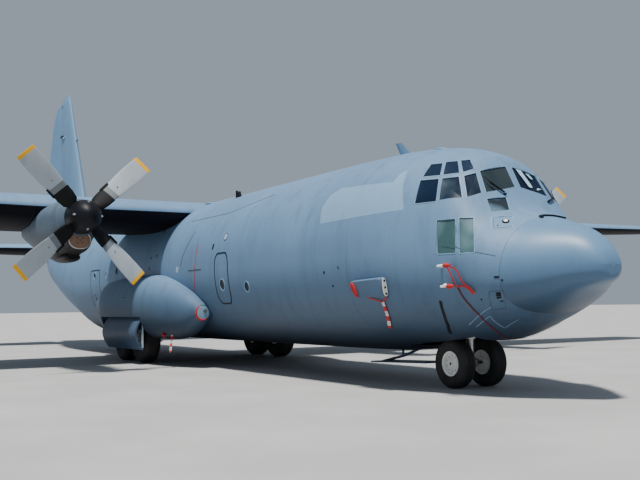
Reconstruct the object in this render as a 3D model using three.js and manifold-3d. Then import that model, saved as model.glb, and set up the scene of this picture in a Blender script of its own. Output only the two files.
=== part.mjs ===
// Four-engined military transport plane with a stretched hold, parked on its wheels.
// Written at full size in millimetres: +X towards the nose, +Y to port, +Z up, the ground at Z = 0.
// The origin is on the ground, on the centreline, half way along. The finished group is scaled 1:2.
import * as THREE from 'three';
import { mergeVertices } from 'three/addons/utils/BufferGeometryUtils.js';
import Module from 'manifold-3d';

const wasm = await Module();
wasm.setup();

// Driving dimensions
const MODEL_SCALE = 0.5;
const LENGTH = 34370;
const SPAN = 40410;
const HEIGHT = 11660;
const GAP = 0.7; // between pieces that touch
const RUNNING_GAP = 14; // between pieces that move past each other
const PIN_RADIUS = 20;
const RING_POINTS = 28; // round a fuselage section
const WHEEL_SIDES = 20;
const BORE_GAP = 1.5; // round a shaft in a bore whose faces are flats
const NACELLE_POINTS = 16;
const AXIS_Y = new THREE.Vector3(0, 1, 0);

const at3 = (x, y, z) => new THREE.Vector3(x, y, z);
const at = (station) => LENGTH / 2 - station; // X of a distance behind the nose tip
const degrees = (angle) => (angle * Math.PI) / 180;
const mix = (a, b, t) => a + (b - a) * t;
const signedPower = (value, power) => Math.sign(value) * Math.abs(value) ** power;

// Solids

function solidFromArrays(positions, indices) {
  return new wasm.Manifold(
    new wasm.Mesh({
      numProp: 3,
      vertProperties: new Float32Array(positions),
      triVerts: new Uint32Array(indices),
    }),
  );
}

function solidFrom(geometry) {
  geometry.deleteAttribute('normal');
  geometry.deleteAttribute('uv');
  const merged = mergeVertices(geometry, 1e-3);
  return solidFromArrays(merged.attributes.position.array, merged.index.array);
}

function geometryFrom(solid) {
  const mesh = solid.getMesh();
  const geometry = new THREE.BufferGeometry();
  geometry.setAttribute('position', new THREE.BufferAttribute(mesh.vertProperties, 3));
  geometry.setIndex(new THREE.BufferAttribute(mesh.triVerts, 1));
  geometry.computeVertexNormals();
  return geometry;
}

// A closed skin over rings with equal numbers of points, capped at both ends
function loft(rings) {
  const count = rings[0].length;
  const points = rings.flat();
  const triangles = [];
  for (let row = 0; row + 1 < rings.length; row += 1) {
    for (let k = 0; k < count; k += 1) {
      const a = row * count + k;
      const b = row * count + ((k + 1) % count);
      triangles.push([a, b, b + count], [a, b + count, a + count]);
    }
  }
  [0, rings.length - 1].forEach((row) => {
    const middle = rings[row].reduce((sum, p) => sum.add(p), at3(0, 0, 0)).divideScalar(count);
    const hub = points.push(middle) - 1;
    for (let k = 0; k < count; k += 1) {
      const a = row * count + k;
      const b = row * count + ((k + 1) % count);
      triangles.push(row === 0 ? [hub, b, a] : [hub, a, b]);
    }
  });
  const volume = triangles.reduce(
    (sum, [a, b, c]) => sum + points[a].dot(points[b].clone().cross(points[c])),
    0,
  );
  const outward = volume > 0 ? triangles : triangles.map(([a, b, c]) => [a, c, b]);
  return solidFromArrays(points.flatMap((p) => p.toArray()), outward.flat());
}

// A box from its limits along X, Y and Z
function box(x0, x1, y0, y1, z0, z1) {
  const geometry = new THREE.BoxGeometry(Math.abs(x1 - x0), Math.abs(y1 - y0), Math.abs(z1 - z0));
  geometry.translate((x0 + x1) / 2, (y0 + y1) / 2, (z0 + z1) / 2);
  return solidFrom(geometry);
}

// A round bar between two points, which may taper
function bar(from, to, radius, endRadius = radius, sides = 12) {
  const along = to.clone().sub(from);
  const geometry = new THREE.CylinderGeometry(endRadius, radius, along.length(), sides);
  geometry.applyQuaternion(new THREE.Quaternion().setFromUnitVectors(AXIS_Y, along.normalize()));
  geometry.translate((from.x + to.x) / 2, (from.y + to.y) / 2, (from.z + to.z) / 2);
  return solidFrom(geometry);
}

// A side profile of [station, z] corners, as thick as its Y limits
function sideProfile(corners, y0, y1) {
  return loft([y0, y1].map((y) => corners.map(([station, z]) => at3(at(station), y, z))));
}

// A turned solid about a line along Y, from a closed profile of [radius, y] corners, with a flat side down
function turnedAboutY(profile, centre, segments) {
  const outline = [...profile, profile[0]].map(([radius, y]) => new THREE.Vector2(radius, y));
  const geometry = new THREE.LatheGeometry(outline, segments, Math.PI / segments);
  geometry.translate(centre.x, centre.y, centre.z);
  const solid = solidFrom(geometry);
  return solid.volume() > 0 ? solid : solidFrom(flipped(geometry));
}

function flipped(geometry) {
  const index = geometry.index.array;
  for (let k = 0; k < index.length; k += 3) {
    [index[k + 1], index[k + 2]] = [index[k + 2], index[k + 1]];
  }
  return geometry;
}

const join = (...solids) => solids.reduce((whole, solid) => whole.add(solid));
const cut = (solid, ...tools) => tools.reduce((rest, tool) => rest.subtract(tool), solid);

// Fuselage sections
// Columns: station, height of the top, of the bottom, half width, height of the widest point, upper power
const BODY = [
  [0, 2090, 1960, 86, 2150, 2],
  [400, 2696, 1788, 560, 2070, 2],
  [1150, 2979, 1430, 1143, 1980, 2],
  [1700, 3126, 1182, 1434, 2150, 2.2],
  [2500, 4244, 895, 1608, 2330, 2.08],
  [3600, 4542, 796, 1945, 2457, 2.13],
  [5200, 4650, 635, 2005, 2610, 2],
  [7000, 4662, 622, 2020, 2640, 2],
  [22400, 4662, 622, 2020, 2640, 2],
  [24500, 4662, 1200, 2000, 2750, 2],
  [27000, 4650, 2080, 1830, 3050, 2],
  [29500, 4620, 2900, 1400, 3450, 2],
  [32000, 4500, 3500, 800, 3900, 2],
  [34370, 4150, 3850, 150, 4000, 2],
];
const LOWER_POWER = 2.4; // roundness of a section under its widest line
const WALL = 110;
const TAIL_WALL = 70;

// A smooth curve through a table column that never overshoots, drawn against the root of the station
function bodyCurve(column, station) {
  const place = (row) => Math.sqrt(BODY[row][0]);
  const here = Math.sqrt(station);
  let row = 0;
  while (row < BODY.length - 2 && here > place(row + 1)) row += 1;
  const rise = (k) => (BODY[k + 1][column] - BODY[k][column]) / (place(k + 1) - place(k));
  const slope = (k) => {
    if (k === 0) return rise(0);
    if (k === BODY.length - 1) return rise(k - 1);
    const [before, after] = [rise(k - 1), rise(k)];
    return before * after <= 0 ? 0 : (2 * before * after) / (before + after);
  };
  const step = place(row + 1) - place(row);
  const t = (here - place(row)) / step;
  const [a, b] = [BODY[row][column], BODY[row + 1][column]];
  return (
    (2 * t ** 3 - 3 * t ** 2 + 1) * a +
    (t ** 3 - 2 * t ** 2 + t) * step * slope(row) +
    (3 * t ** 2 - 2 * t ** 3) * b +
    (t ** 3 - t ** 2) * step * slope(row + 1)
  );
}

// An oval ring across X, with its own height above and below its widest line
function ovalRing({ x, y, z, half, up, down, power = 2, lowerPower = power }, count = RING_POINTS) {
  return Array.from({ length: count }, (_, k) => {
    const angle = (2 * Math.PI * k) / count;
    const upper = Math.sin(angle) >= 0;
    const shape = 2 / (upper ? power : lowerPower);
    return at3(
      x,
      y + half * signedPower(Math.cos(angle), shape),
      z + (upper ? up : down) * signedPower(Math.sin(angle), shape),
    );
  });
}

function bodyRing(station, inset = 0) {
  const [top, bottom, half, widest, upper] = [1, 2, 3, 4, 5].map((column) => bodyCurve(column, station));
  return ovalRing({
    x: at(station),
    y: 0,
    z: widest,
    half: half - inset,
    up: top - widest - inset,
    down: widest - bottom - inset,
    power: upper,
    lowerPower: LOWER_POWER,
  });
}

// Half width of the skin at a height under its widest line
function skinY(station, z) {
  const [bottom, half, widest] = [2, 3, 4].map((column) => bodyCurve(column, station));
  return half * (1 - ((widest - z) / (widest - bottom)) ** LOWER_POWER) ** (1 / LOWER_POWER);
}

const RING_STATIONS = [
  60, 200, 430, 750, 1100, 1450, 1700, 1900, 2100, 2300, 2500, 2800, 3200, 3900, 4600, 5200, 7000, 22400, 23400,
  24500, 25700, 27000, 28300, 29500, 30800, 32000, 33200,
];

function body(from, to, inset = 0) {
  const stations = [from, ...RING_STATIONS.filter((s) => s > from + 20 && s < to - 20), to];
  return loft(stations.map((station) => bodyRing(station, inset)));
}

function shell(from, to, wall = WALL) {
  return cut(body(from, to), body(from - 1, to + 1, wall));
}

// Wing-like sections
const FOIL_STEPS = 8;
const NOSE_STEPS = 3;

// Half the thickness of a section at a fraction of its chord
function foilHalf({ chord, ratio }, u) {
  const curve = 0.2969 * Math.sqrt(u) - 0.126 * u - 0.3516 * u ** 2 + 0.2843 * u ** 3 - 0.1036 * u ** 4;
  return chord * (5 * ratio * curve + 0.0025 * u);
}

const foilMiddle = ({ chord, camber = 0 }, u) => chord * camber * 4 * u * (1 - u);

// A closed outline of [distance behind the leading edge, height]; a front above 0 gives a round nose there
function foilOutline(section, front = 0, grow = 0) {
  const { chord } = section;
  const radius = foilHalf(section, front);
  const nose = foilMiddle(section, front);
  const upper = [];
  const lower = [];
  if (front > 0) {
    for (let k = 1; k <= NOSE_STEPS; k += 1) {
      const angle = (Math.PI / 2) * (k / NOSE_STEPS);
      const behind = front * chord - radius * Math.cos(angle);
      upper.push([behind, nose + radius * Math.sin(angle)]);
      lower.push([behind, nose - radius * Math.sin(angle)]);
    }
  }
  for (let k = 1; k <= FOIL_STEPS; k += 1) {
    const u = front + ((1 - front) * (1 - Math.cos((Math.PI * k) / FOIL_STEPS))) / 2;
    const behind = u * chord + (k === FOIL_STEPS ? grow : 0);
    upper.push([behind, foilMiddle(section, u) + foilHalf(section, u) + grow]);
    lower.push([behind, foilMiddle(section, u) - foilHalf(section, u) - grow]);
  }
  return [[front * chord - radius - grow, nose], ...upper, ...lower.reverse()];
}

// Puts an outline point of a level wing-like section in place
function onSection({ edge, twist = 0, upright = false }, [behind, height]) {
  if (upright) return at3(edge.x - behind, edge.y + height, edge.z);
  const angle = degrees(twist);
  return at3(
    edge.x - behind * Math.cos(angle) - height * Math.sin(angle),
    edge.y,
    edge.z - behind * Math.sin(angle) + height * Math.cos(angle),
  );
}

const foilRing = (section, front, grow) =>
  foilOutline(section, front, grow).map((point) => onSection(section, point));

const hingePoint = (section, front) =>
  onSection(section, [front * section.chord, foilMiddle(section, front)]);

// What is taken out of a carrier behind a distance ahead of a hinge line, to beyond the trailing edge
function coveTool(places, sectionAt, frontAt) {
  const REACH = 1200;
  return loft(
    places.map((place) => {
      const section = sectionAt(place);
      const front = frontAt(place);
      const ahead = front * section.chord - foilHalf(section, front) - RUNNING_GAP;
      return [
        [ahead, -REACH],
        [ahead, REACH],
        [section.chord + REACH, REACH],
        [section.chord + REACH, -REACH],
      ].map((point) => onSection(section, point));
    }),
  );
}

// A hinged surface with a round nose and a pin at each end, and what its carriers lose for it
function hingedSurface(sectionAt, near, far, frontAt, innerReach = 40) {
  const OUTER_REACH = 40;
  const ROOT = 160; // of a pin inside the surface
  const [axisFrom, axisTo] = [near, far].map((y) => hingePoint(sectionAt(y), frontAt(y)));
  const along = axisTo.clone().sub(axisFrom).normalize();
  const pin = (end, sign, radius, reach) => {
    const inner = end.clone().addScaledVector(along, -sign * ROOT);
    return bar(inner, end.clone().addScaledVector(along, sign * reach), radius);
  };
  const inward = Math.sign(far - near) * RUNNING_GAP;
  const rings = [near + inward, far - inward].map((y) => foilRing(sectionAt(y), frontAt(y)));
  const solid = join(
    loft(rings),
    pin(axisFrom, -1, PIN_RADIUS, innerReach),
    pin(axisTo, 1, PIN_RADIUS, OUTER_REACH),
  );
  const tools = [
    coveTool([near, far], sectionAt, frontAt),
    pin(axisFrom, -1, PIN_RADIUS + BORE_GAP, innerReach + GAP),
    pin(axisTo, 1, PIN_RADIUS + BORE_GAP, OUTER_REACH + GAP),
  ];
  return { solid, tools, axisFrom, axisTo };
}

// The hollow between the spars of a section, inside its skins
function sparHollow(places, sectionAt, { from, to, wall }) {
  const STEPS = 3;
  return loft(
    places.map((place) => {
      const section = sectionAt(place);
      const line = (sign) => Array.from({ length: STEPS + 1 }, (_, k) => {
        const u = mix(from, to, k / STEPS);
        return [u * section.chord, foilMiddle(section, u) + sign * (foilHalf(section, u) - wall)];
      });
      return [...line(1), ...line(-1).reverse()].map((point) => onSection(section, point));
    }),
  );
}

// Wing
const WING = {
  edge: 13900, // station of the leading edge at the root
  chord: 4880,
  tipChord: 2590,
  tipBack: 570, // how far the tip's leading edge lies behind the root's
  breakY: 5590, // where the outer wing is bolted on
  height: 4250,
  rise: 280, // of the tip above the root
  thickness: 0.18,
  tipThickness: 0.12,
  twist: 3,
  tipTwist: 0,
  camber: 0.018,
};
const TIP_Y = SPAN / 2;
const AILERON = { near: 13300, far: 19300, front: 0.76 };
const FLAPS = [
  { name: 'inner', near: 2250, far: 5480 },
  { name: 'outer', near: 5720, far: 13180 },
];
const FLAP_FRONT = 0.72;

function wingAt(y) {
  const out = Math.max(0, (Math.abs(y) - WING.breakY) / (TIP_Y - WING.breakY));
  return {
    edge: at3(at(WING.edge + WING.tipBack * out), y, WING.height + WING.rise * out),
    chord: mix(WING.chord, WING.tipChord, out),
    ratio: mix(WING.thickness, WING.tipThickness, out),
    twist: mix(WING.twist, WING.tipTwist, out),
    camber: WING.camber,
  };
}

// The rounded tip narrows the last section in plan and in thickness
function wingTip(side) {
  const section = wingAt(side * TIP_Y);
  const NARROW = 0.55;
  const slim = { ...section, chord: section.chord * NARROW, ratio: section.ratio * 0.5 };
  slim.edge = section.edge.clone().add(at3(-section.chord * (1 - NARROW) * 0.5, 0, 0));
  return slim;
}

const centreWingRings = (grow) =>
  [-WING.breakY + GAP, WING.breakY - GAP].map((y) => foilRing(wingAt(y), 0, grow));

function outerWing(side, grow = 0) {
  const ROUND = 400;
  const sections = [WING.breakY + GAP, 13240, TIP_Y - ROUND].map((y) => wingAt(side * y));
  return loft([...sections, wingTip(side)].map((section) => foilRing(section, 0, grow)));
}

// Flaps are the rear of the section, with a round nose; they swing about a line below and ahead of it
const FLAP_SWING = { ahead: 260, below: 700 };

const FLAP_STOP = { places: [0.15, 0.85], width: 120, half: 30, seat: GAP };

// A pad on the wing's rear beam that the raised flap's nose rests against, part of the way between its ends
function flapStop(ends, t) {
  const { half, seat, width } = FLAP_STOP;
  const [inner, outer] = ends.map((section) => {
    const nose = FLAP_FRONT * section.chord - foilHalf(section, FLAP_FRONT);
    const middle = foilMiddle(section, FLAP_FRONT);
    return [
      [nose - RUNNING_GAP - 5, middle - half],
      [nose - RUNNING_GAP - 5, middle + half],
      [nose - seat, middle + half],
      [nose - seat, middle - half],
    ].map((point) => onSection(section, point));
  });
  const step = width / 2 / inner[0].distanceTo(outer[0]);
  return loft([t - step, t + step].map((place) => inner.map((point, k) => point.clone().lerp(outer[k], place))));
}

function flap(side, { near, far }) {
  const ends = [near + RUNNING_GAP, far - RUNNING_GAP].map((y) => wingAt(side * y));
  const solid = loft(ends.map((section) => foilRing(section, FLAP_FRONT)));
  const cove = coveTool([near, far], (y) => wingAt(side * y), () => FLAP_FRONT);
  const stops = FLAP_STOP.places.map((t) => flapStop([near, far].map((y) => wingAt(side * y)), t));
  const tool = cut(cove, ...stops);
  const [first, last] = [near, far].map((y) => {
    const section = wingAt(side * y);
    return onSection(section, [FLAP_FRONT * section.chord - FLAP_SWING.ahead, -FLAP_SWING.below]);
  });
  const middle = first.clone().lerp(last, 0.5);
  const axis = [first, last].map(({ y }) => at3(middle.x, y, middle.z));
  return { solid, tool, axis };
}

// Tail
const STABILISER = {
  edge: 29350,
  chord: 4350,
  tipChord: 1850,
  tipBack: 1350,
  half: 8025,
  height: 4230,
  thickness: 0.13,
};
const ELEVATOR = { near: 850, far: 7750, hinge: 32150, tube: 330 };
const TAIL_BOX = { from: 0.08, to: 0.54, wall: 40 };

function stabiliserAt(y) {
  const out = Math.abs(y) / STABILISER.half;
  return {
    edge: at3(at(STABILISER.edge + STABILISER.tipBack * out), y, STABILISER.height),
    chord: mix(STABILISER.chord, STABILISER.tipChord, out),
    ratio: STABILISER.thickness,
  };
}

const FIN = {
  edge: 27900, // station of the leading edge at the foot
  tipEdge: 31400,
  chord: 5960,
  tipChord: 1850,
  foot: 4400,
  thickness: 0.12,
  dorsalEdge: 26000,
  dorsalTop: 6100,
};
const elevatorFront = (y) => {
  const section = stabiliserAt(y);
  return (ELEVATOR.hinge - (at(0) - section.edge.x)) / section.chord;
};
const RUDDER = { near: 4900, far: 11250, hinge: 32500, rest: 22 };

function finAt(z) {
  const up = (z - FIN.foot) / (HEIGHT - FIN.foot);
  return {
    edge: at3(at(mix(FIN.edge, FIN.tipEdge, up)), 0, z),
    chord: mix(FIN.chord, FIN.tipChord, up),
    ratio: FIN.thickness,
    upright: true,
  };
}

// Pieces are collected here by name
const group = new THREE.Group();
group.name = 'transport_plane';
group.scale.setScalar(MODEL_SCALE);

const FINISHES = {
  grey: { color: 0x7f95a8, roughness: 0.6, metalness: 0.1 },
  dark: { color: 0x2c3038, roughness: 0.7, metalness: 0.1 },
  metal: { color: 0xb4b8bc, roughness: 0.35, metalness: 0.8 },
  white: { color: 0xd8dadb, roughness: 0.5, metalness: 0.1 },
  rubber: { color: 0x17181a, roughness: 0.9, metalness: 0 },
  floor: { color: 0x8a8f93, roughness: 0.7, metalness: 0.3 },
  glass: { color: 0x39434a, roughness: 0.1, metalness: 0 },
};

function place(name, solid, finish) {
  const mesh = new THREE.Mesh(geometryFrom(solid), new THREE.MeshStandardMaterial(FINISHES[finish]));
  mesh.name = name;
  group.add(mesh);
}

const SIDES = [
  { side: 1, word: 'left' },
  { side: -1, word: 'right' },
];

// Where the fuselage is split
const RADOME_JOINT = 1265;
const NOSE_END = 4600;
const FORWARD_END = 12400;
const CENTRE_END = 18900;
const AFT_END = 32000;
const TAIL_HOLLOW_END = 33400;

// Floors
const FLOOR_TOP = 1030;
const FLOOR_DEPTH = 240;
const DECK_TOP = 2030;
const DECK_DEPTH = 90;
const BULKHEAD = 6230;
const RAMP_START = 22400;

// Main wheels and their wells
const MAIN = { stations: [14970, 16510], track: 2180, radius: 670, width: 500, rim: 285, axle: 60 };
const WELL = { from: 14150, to: 17330, inner: 1600, outer: 2500, roof: 2280, plate: 50 };
const MAIN_LEG = { y: 1770, radius: 85 };

// Nose wheels and their bay
const NOSE = { station: 3420, half: 380, radius: 455, width: 310, rim: 232, axle: 45 };
const BAY = { from: 2500, to: 4400, half: 700, roof: 1480, plate: 40 };

// Ramp, aft door, crew door and side doors
const RAMP = { hinge: 22640, hingeZ: 800, radius: 220, end: 25600, half: 1520, rearTop: 1930, lean: 130, sill: 1560 };
const AFT_DOOR = { start: 25614, end: 29600, half: 1420, endHalf: 950, hinge: 29555, hingeZ: 3080, tube: 25 };
const CREW_DOOR = { from: 3560, to: 4320, bottom: 1050, top: 2250, wall: 60, hingeDepth: 22, sillRadius: 82 };
const SIDE_DOOR = { from: 19980, to: 20960, bottom: 1030, top: 2850 };

// The ramp's side view: a round nose about its hinge, then up and aft to a rear face that leans forward
function rampCorners(grow) {
  const { hinge, hingeZ, radius, end, rearTop, lean, sill } = RAMP;
  const arc = Array.from({ length: 9 }, (_, k) => {
    const angle = Math.PI / 2 + (Math.PI * k) / 8;
    return [hinge + (radius + grow) * Math.cos(angle), hingeZ + (radius + grow) * Math.sin(angle)];
  });
  return [[end - lean + grow, rearTop + grow], ...arc, [hinge + 400, 200], [end + grow, 700], [end + grow, sill]];
}

function aftDoorTool(grow) {
  const { start, end, half, endHalf } = AFT_DOOR;
  const corners = (station, reach) => [
    at3(at(station), -reach - grow, 300),
    at3(at(station), reach + grow, 300),
    at3(at(station), reach + grow, station === start ? 2700 : 3600),
    at3(at(station), -reach - grow, station === start ? 2700 : 3600),
  ];
  const shift = (ring, by) => ring.map((p) => p.clone().add(at3(by, 0, 0)));
  return loft([shift(corners(start, half), grow), shift(corners(end, endHalf), -grow)]);
}

const aftDoorTube = (grow) => {
  const reach = AFT_DOOR.endHalf + RUNNING_GAP + 40 + grow;
  return bar(
    at3(at(AFT_DOOR.hinge), -reach, AFT_DOOR.hingeZ), at3(at(AFT_DOOR.hinge), reach, AFT_DOOR.hingeZ),
    AFT_DOOR.tube + grow,
  );
};

// The ramp turns on pins in lugs that stand out of the floor's end
const RAMP_LUGS = [-300, 300].map((y) => ({ from: y - 50, to: y + 50 }));
const RAMP_LUG = { radius: 55, pin: 25, clear: 20 };

function rampLugs() {
  const { hinge, hingeZ } = RAMP;
  const { radius, pin } = RAMP_LUG;
  const lugs = RAMP_LUGS.map(({ from, to }) => join(
    box(at(hinge), at(RAMP_START) + RUNNING_GAP + 10, from, to, hingeZ - radius, hingeZ + radius),
    bar(at3(at(hinge), from, hingeZ), at3(at(hinge), to, hingeZ), radius),
  ));
  const bore = bar(at3(at(hinge), -1000, hingeZ), at3(at(hinge), 1000, hingeZ), pin + BORE_GAP);
  return cut(join(...lugs), bore);
}

const rampPins = () => join(...RAMP_LUGS.map(({ from, to }) => {
  const { hinge, hingeZ } = RAMP;
  return bar(at3(at(hinge), from - 60, hingeZ), at3(at(hinge), to + 60, hingeZ), RAMP_LUG.pin);
}));

const rampNotches = () => RAMP_LUGS.map(({ from, to }) =>
  box(at(RAMP.hinge + RAMP_LUG.radius + RAMP_LUG.clear), at(RAMP_START - 100),
    from - RAMP_LUG.clear, to + RAMP_LUG.clear, 400, 1100));

function doorTool({ from, to, bottom, top }, side, grow) {
  return box(at(from) + grow, at(to) - grow, side * 900, side * 2400, bottom - grow, top + grow);
}

// The nose section: shell, bay for the nose wheels, opening for the crew door
const crewHinge = (() => {
  const middle = (CREW_DOOR.from + CREW_DOOR.to) / 2;
  const z = CREW_DOOR.bottom + RUNNING_GAP - 8;
  return at3(0, skinY(middle, z) - CREW_DOOR.hingeDepth, z);
})();

const crewPin = (radius) =>
  bar(
    at3(at(CREW_DOOR.from) - RUNNING_GAP, crewHinge.y, crewHinge.z),
    at3(at(CREW_DOOR.to) + RUNNING_GAP, crewHinge.y, crewHinge.z),
    radius,
  );

// The sill is cut back round the hinge line, where the open door's foot turns
const crewSill = bar(
  at3(at(CREW_DOOR.from), crewHinge.y, crewHinge.z), at3(at(CREW_DOOR.to), crewHinge.y, crewHinge.z),
  CREW_DOOR.sillRadius, CREW_DOOR.sillRadius, 20,
);

// Starboard windows of the flight deck
// Columns: four corners in turn, each a station and an angle round the section from port over the top
const WINDOWS = [
  [[3045, 136.4], [3089, 125.8], [2899, 123.2], [2746, 133.2]],
  [[2703, 132.3], [2866, 121.6], [2692, 118], [2451, 127.1]],
  [[2414, 125.1], [2658, 116.7], [2543, 112.7], [2346, 117]],
  [[2954, 153.6], [3045, 139], [2727, 135.8], [2575, 150]],
  [[2522, 149.2], [2668, 135], [2412, 129.5], [2183, 137.8]],
  [[2141, 134.1], [2362, 126.6], [2288, 117.4], [2070, 121.3]],
  [[2046, 117.5], [2283, 114], [2270, 92.2], [2040, 91.9]],
  [[2456, 160.3], [2130, 152.5], [1987, 173.2], [2369, 177.3]],
  [[2083, 149.4], [1913, 138.8], [1650, 166], [1911, 171.9]],
];
const STARBOARD_CORNER_WINDOW = [[1990, 119.5], [1947, 103.1], [1780, 106.5], [1838, 122.4]];
const WINDOW_REACH = { out: 120, in: 230 };
const GLAZING = { from: 1560, to: 3180, wall: 40, low: 2240 };

const mirrored = (corners) => corners.map(([station, angle]) => [station, 180 - angle]);

// A point on the skin, moved in by an inset
function bodyPoint(station, angle, inset) {
  const [top, bottom, half, widest, upper] = [1, 2, 3, 4, 5].map((column) => bodyCurve(column, station));
  const turn = degrees(angle);
  const rising = Math.sin(turn) >= 0;
  const shape = 2 / (rising ? upper : LOWER_POWER);
  const reach = (rising ? top - widest : widest - bottom) - inset;
  return at3(
    at(station),
    (half - inset) * signedPower(Math.cos(turn), shape),
    widest + reach * signedPower(Math.sin(turn), shape),
  );
}

function windowTool(corners) {
  const rings = [-WINDOW_REACH.out, WINDOW_REACH.in].map((inset) => corners.map(([station, angle]) => {
    const point = bodyPoint(station, angle, 0);
    const inner = bodyPoint(station, angle, 60);
    const along = bodyPoint(station + 10, angle, 0).sub(bodyPoint(station - 10, angle, 0));
    const around = bodyPoint(station, angle + 0.5, 0).sub(bodyPoint(station, angle - 0.5, 0));
    const inward = along.cross(around).normalize();
    if (inward.dot(inner.sub(point)) < 0) inward.negate();
    return point.addScaledVector(inward, inset);
  }));
  return loft(rings);
}

// Glazing: one thin shell behind all the window openings
const noseLoft = (inset, reach = 1) => body(RADOME_JOINT + GAP / 2 - reach, NOSE_END - GAP / 2 + reach, inset);

function glazing() {
  const { from, to, wall, low } = GLAZING;
  return cut(noseLoft(WALL + GAP), noseLoft(WALL + GAP + wall, 2)).intersect(
    box(at(to), at(from), -2500, 2500, low, 5000),
  );
}

function glazingRoom() {
  const { from, to, wall, low } = GLAZING;
  return cut(noseLoft(WALL - 5), noseLoft(WALL + 2 * GAP + wall, 2)).intersect(
    box(at(to) - GAP, at(from) + GAP, -2500, 2500, low - GAP, 5000),
  );
}

function noseSection() {
  const { from, to, half, roof, plate } = BAY;
  const walls = cut(
    box(at(from) + plate, at(to) - plate, -half - plate, half + plate, 400, roof + plate),
    box(at(from), at(to), -half, half, 300, roof),
  );
  const fitted = walls.intersect(body(RADOME_JOINT + 400, NOSE_END, 5));
  const solid = cut(
    join(shell(RADOME_JOINT + GAP / 2, NOSE_END - GAP / 2), fitted),
    box(at(from), at(to), -half, half, 300, roof),
    doorTool(CREW_DOOR, 1, 0),
    crewPin(PIN_RADIUS + BORE_GAP),
    crewSill,
    ...WINDOWS.flatMap((corners) => [windowTool(corners), windowTool(mirrored(corners))]),
    windowTool(STARBOARD_CORNER_WINDOW),
  );
  return solid;
}

function crewDoor() {
  const panel = body(3000, 4600).subtract(body(2990, 4610, 60)).intersect(doorTool(CREW_DOOR, 1, -RUNNING_GAP));
  return join(panel, crewPin(PIN_RADIUS));
}

place('radome', body(0, RADOME_JOINT - GAP / 2), 'grey');
place('nose_section', noseSection(), 'grey');
place('flight_deck_glazing', glazing(), 'glass');
place('crew_door', crewDoor(), 'grey');

const wingTool = loft(centreWingRings(GAP));

place('forward_fuselage', shell(NOSE_END + GAP / 2, FORWARD_END - GAP / 2), 'grey');

function wellBox(side, grow) {
  const { from, to, inner, roof } = WELL;
  return box(at(from) + grow, at(to) - grow, side * (inner - grow), side * 2500, 300, roof + grow);
}

function centreFuselage() {
  const outer = body(FORWARD_END + GAP / 2, CENTRE_END - GAP / 2);
  const hull = shell(FORWARD_END + GAP / 2, CENTRE_END - GAP / 2);
  const wells = SIDES.map(({ side }) => wellBox(side, WELL.plate).intersect(outer));
  const holes = SIDES.map(({ side }) => wellBox(side, 0));
  return cut(join(hull, ...wells), ...holes, wingTool);
}
place('centre_fuselage', centreFuselage(), 'grey');

const stabiliserRings = (grow) => [-1, 0, 1].map((t) => foilRing(stabiliserAt(t * STABILISER.half), 0, grow));
const stabiliserTool = loft(stabiliserRings(GAP));

function aftFuselage() {
  return cut(
    shell(CENTRE_END + GAP / 2, AFT_END - GAP / 2, TAIL_WALL),
    sideProfile(rampCorners(RUNNING_GAP), -RAMP.half - RUNNING_GAP, RAMP.half + RUNNING_GAP),
    aftDoorTool(RUNNING_GAP),
    aftDoorTube(BORE_GAP),
    ...SIDES.map(({ side }) => doorTool(SIDE_DOOR, side, 0)),
    stabiliserTool,
  );
}
place('aft_fuselage', aftFuselage(), 'grey');

const elevators = SIDES.map(({ side, word }) => ({
  word,
  ...hingedSurface((y) => stabiliserAt(side * y), ELEVATOR.near, ELEVATOR.far, elevatorFront, ELEVATOR.tube),
}));
place(
  'tail_cone',
  cut(
    body(AFT_END + GAP / 2, LENGTH),
    body(AFT_END - 100, TAIL_HOLLOW_END, TAIL_WALL),
    stabiliserTool,
    ...elevators.flatMap(({ tools }) => tools.slice(1)),
  ),
  'grey',
);

SIDES.forEach(({ side, word }) => {
  const panel = shell(19700, 21300, 60).intersect(doorTool(SIDE_DOOR, side, -GAP));
  place(`side_door_${word}`, panel, 'grey');
});

const rampWedge = body(22000, 26500).intersect(sideProfile(rampCorners(0), -RAMP.half, RAMP.half));
place('cargo_ramp', join(cut(rampWedge, ...rampNotches()), rampPins()), 'grey');
place('aft_cargo_door', join(shell(25000, 30500).intersect(aftDoorTool(-RUNNING_GAP)), aftDoorTube(0)), 'grey');

// The hold's floor, which runs forward to the crew door beside the nose wheels' bay
const inside = body(RADOME_JOINT, AFT_END, WALL + GAP);
const FLOOR_HALF = 1540;
const ENTRY = { from: 3500, to: 4460 };
const bayEdge = BAY.half + BAY.plate + GAP;
place(
  'cargo_floor',
  join(
    box(at(ENTRY.to), at(RAMP_START) + RUNNING_GAP, -FLOOR_HALF, FLOOR_HALF, FLOOR_TOP - FLOOR_DEPTH, FLOOR_TOP),
    box(at(ENTRY.to + 1), at(ENTRY.from), bayEdge, FLOOR_HALF, FLOOR_TOP - FLOOR_DEPTH, FLOOR_TOP),
    rampLugs(),
  ).intersect(inside),
  'floor',
);

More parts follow.
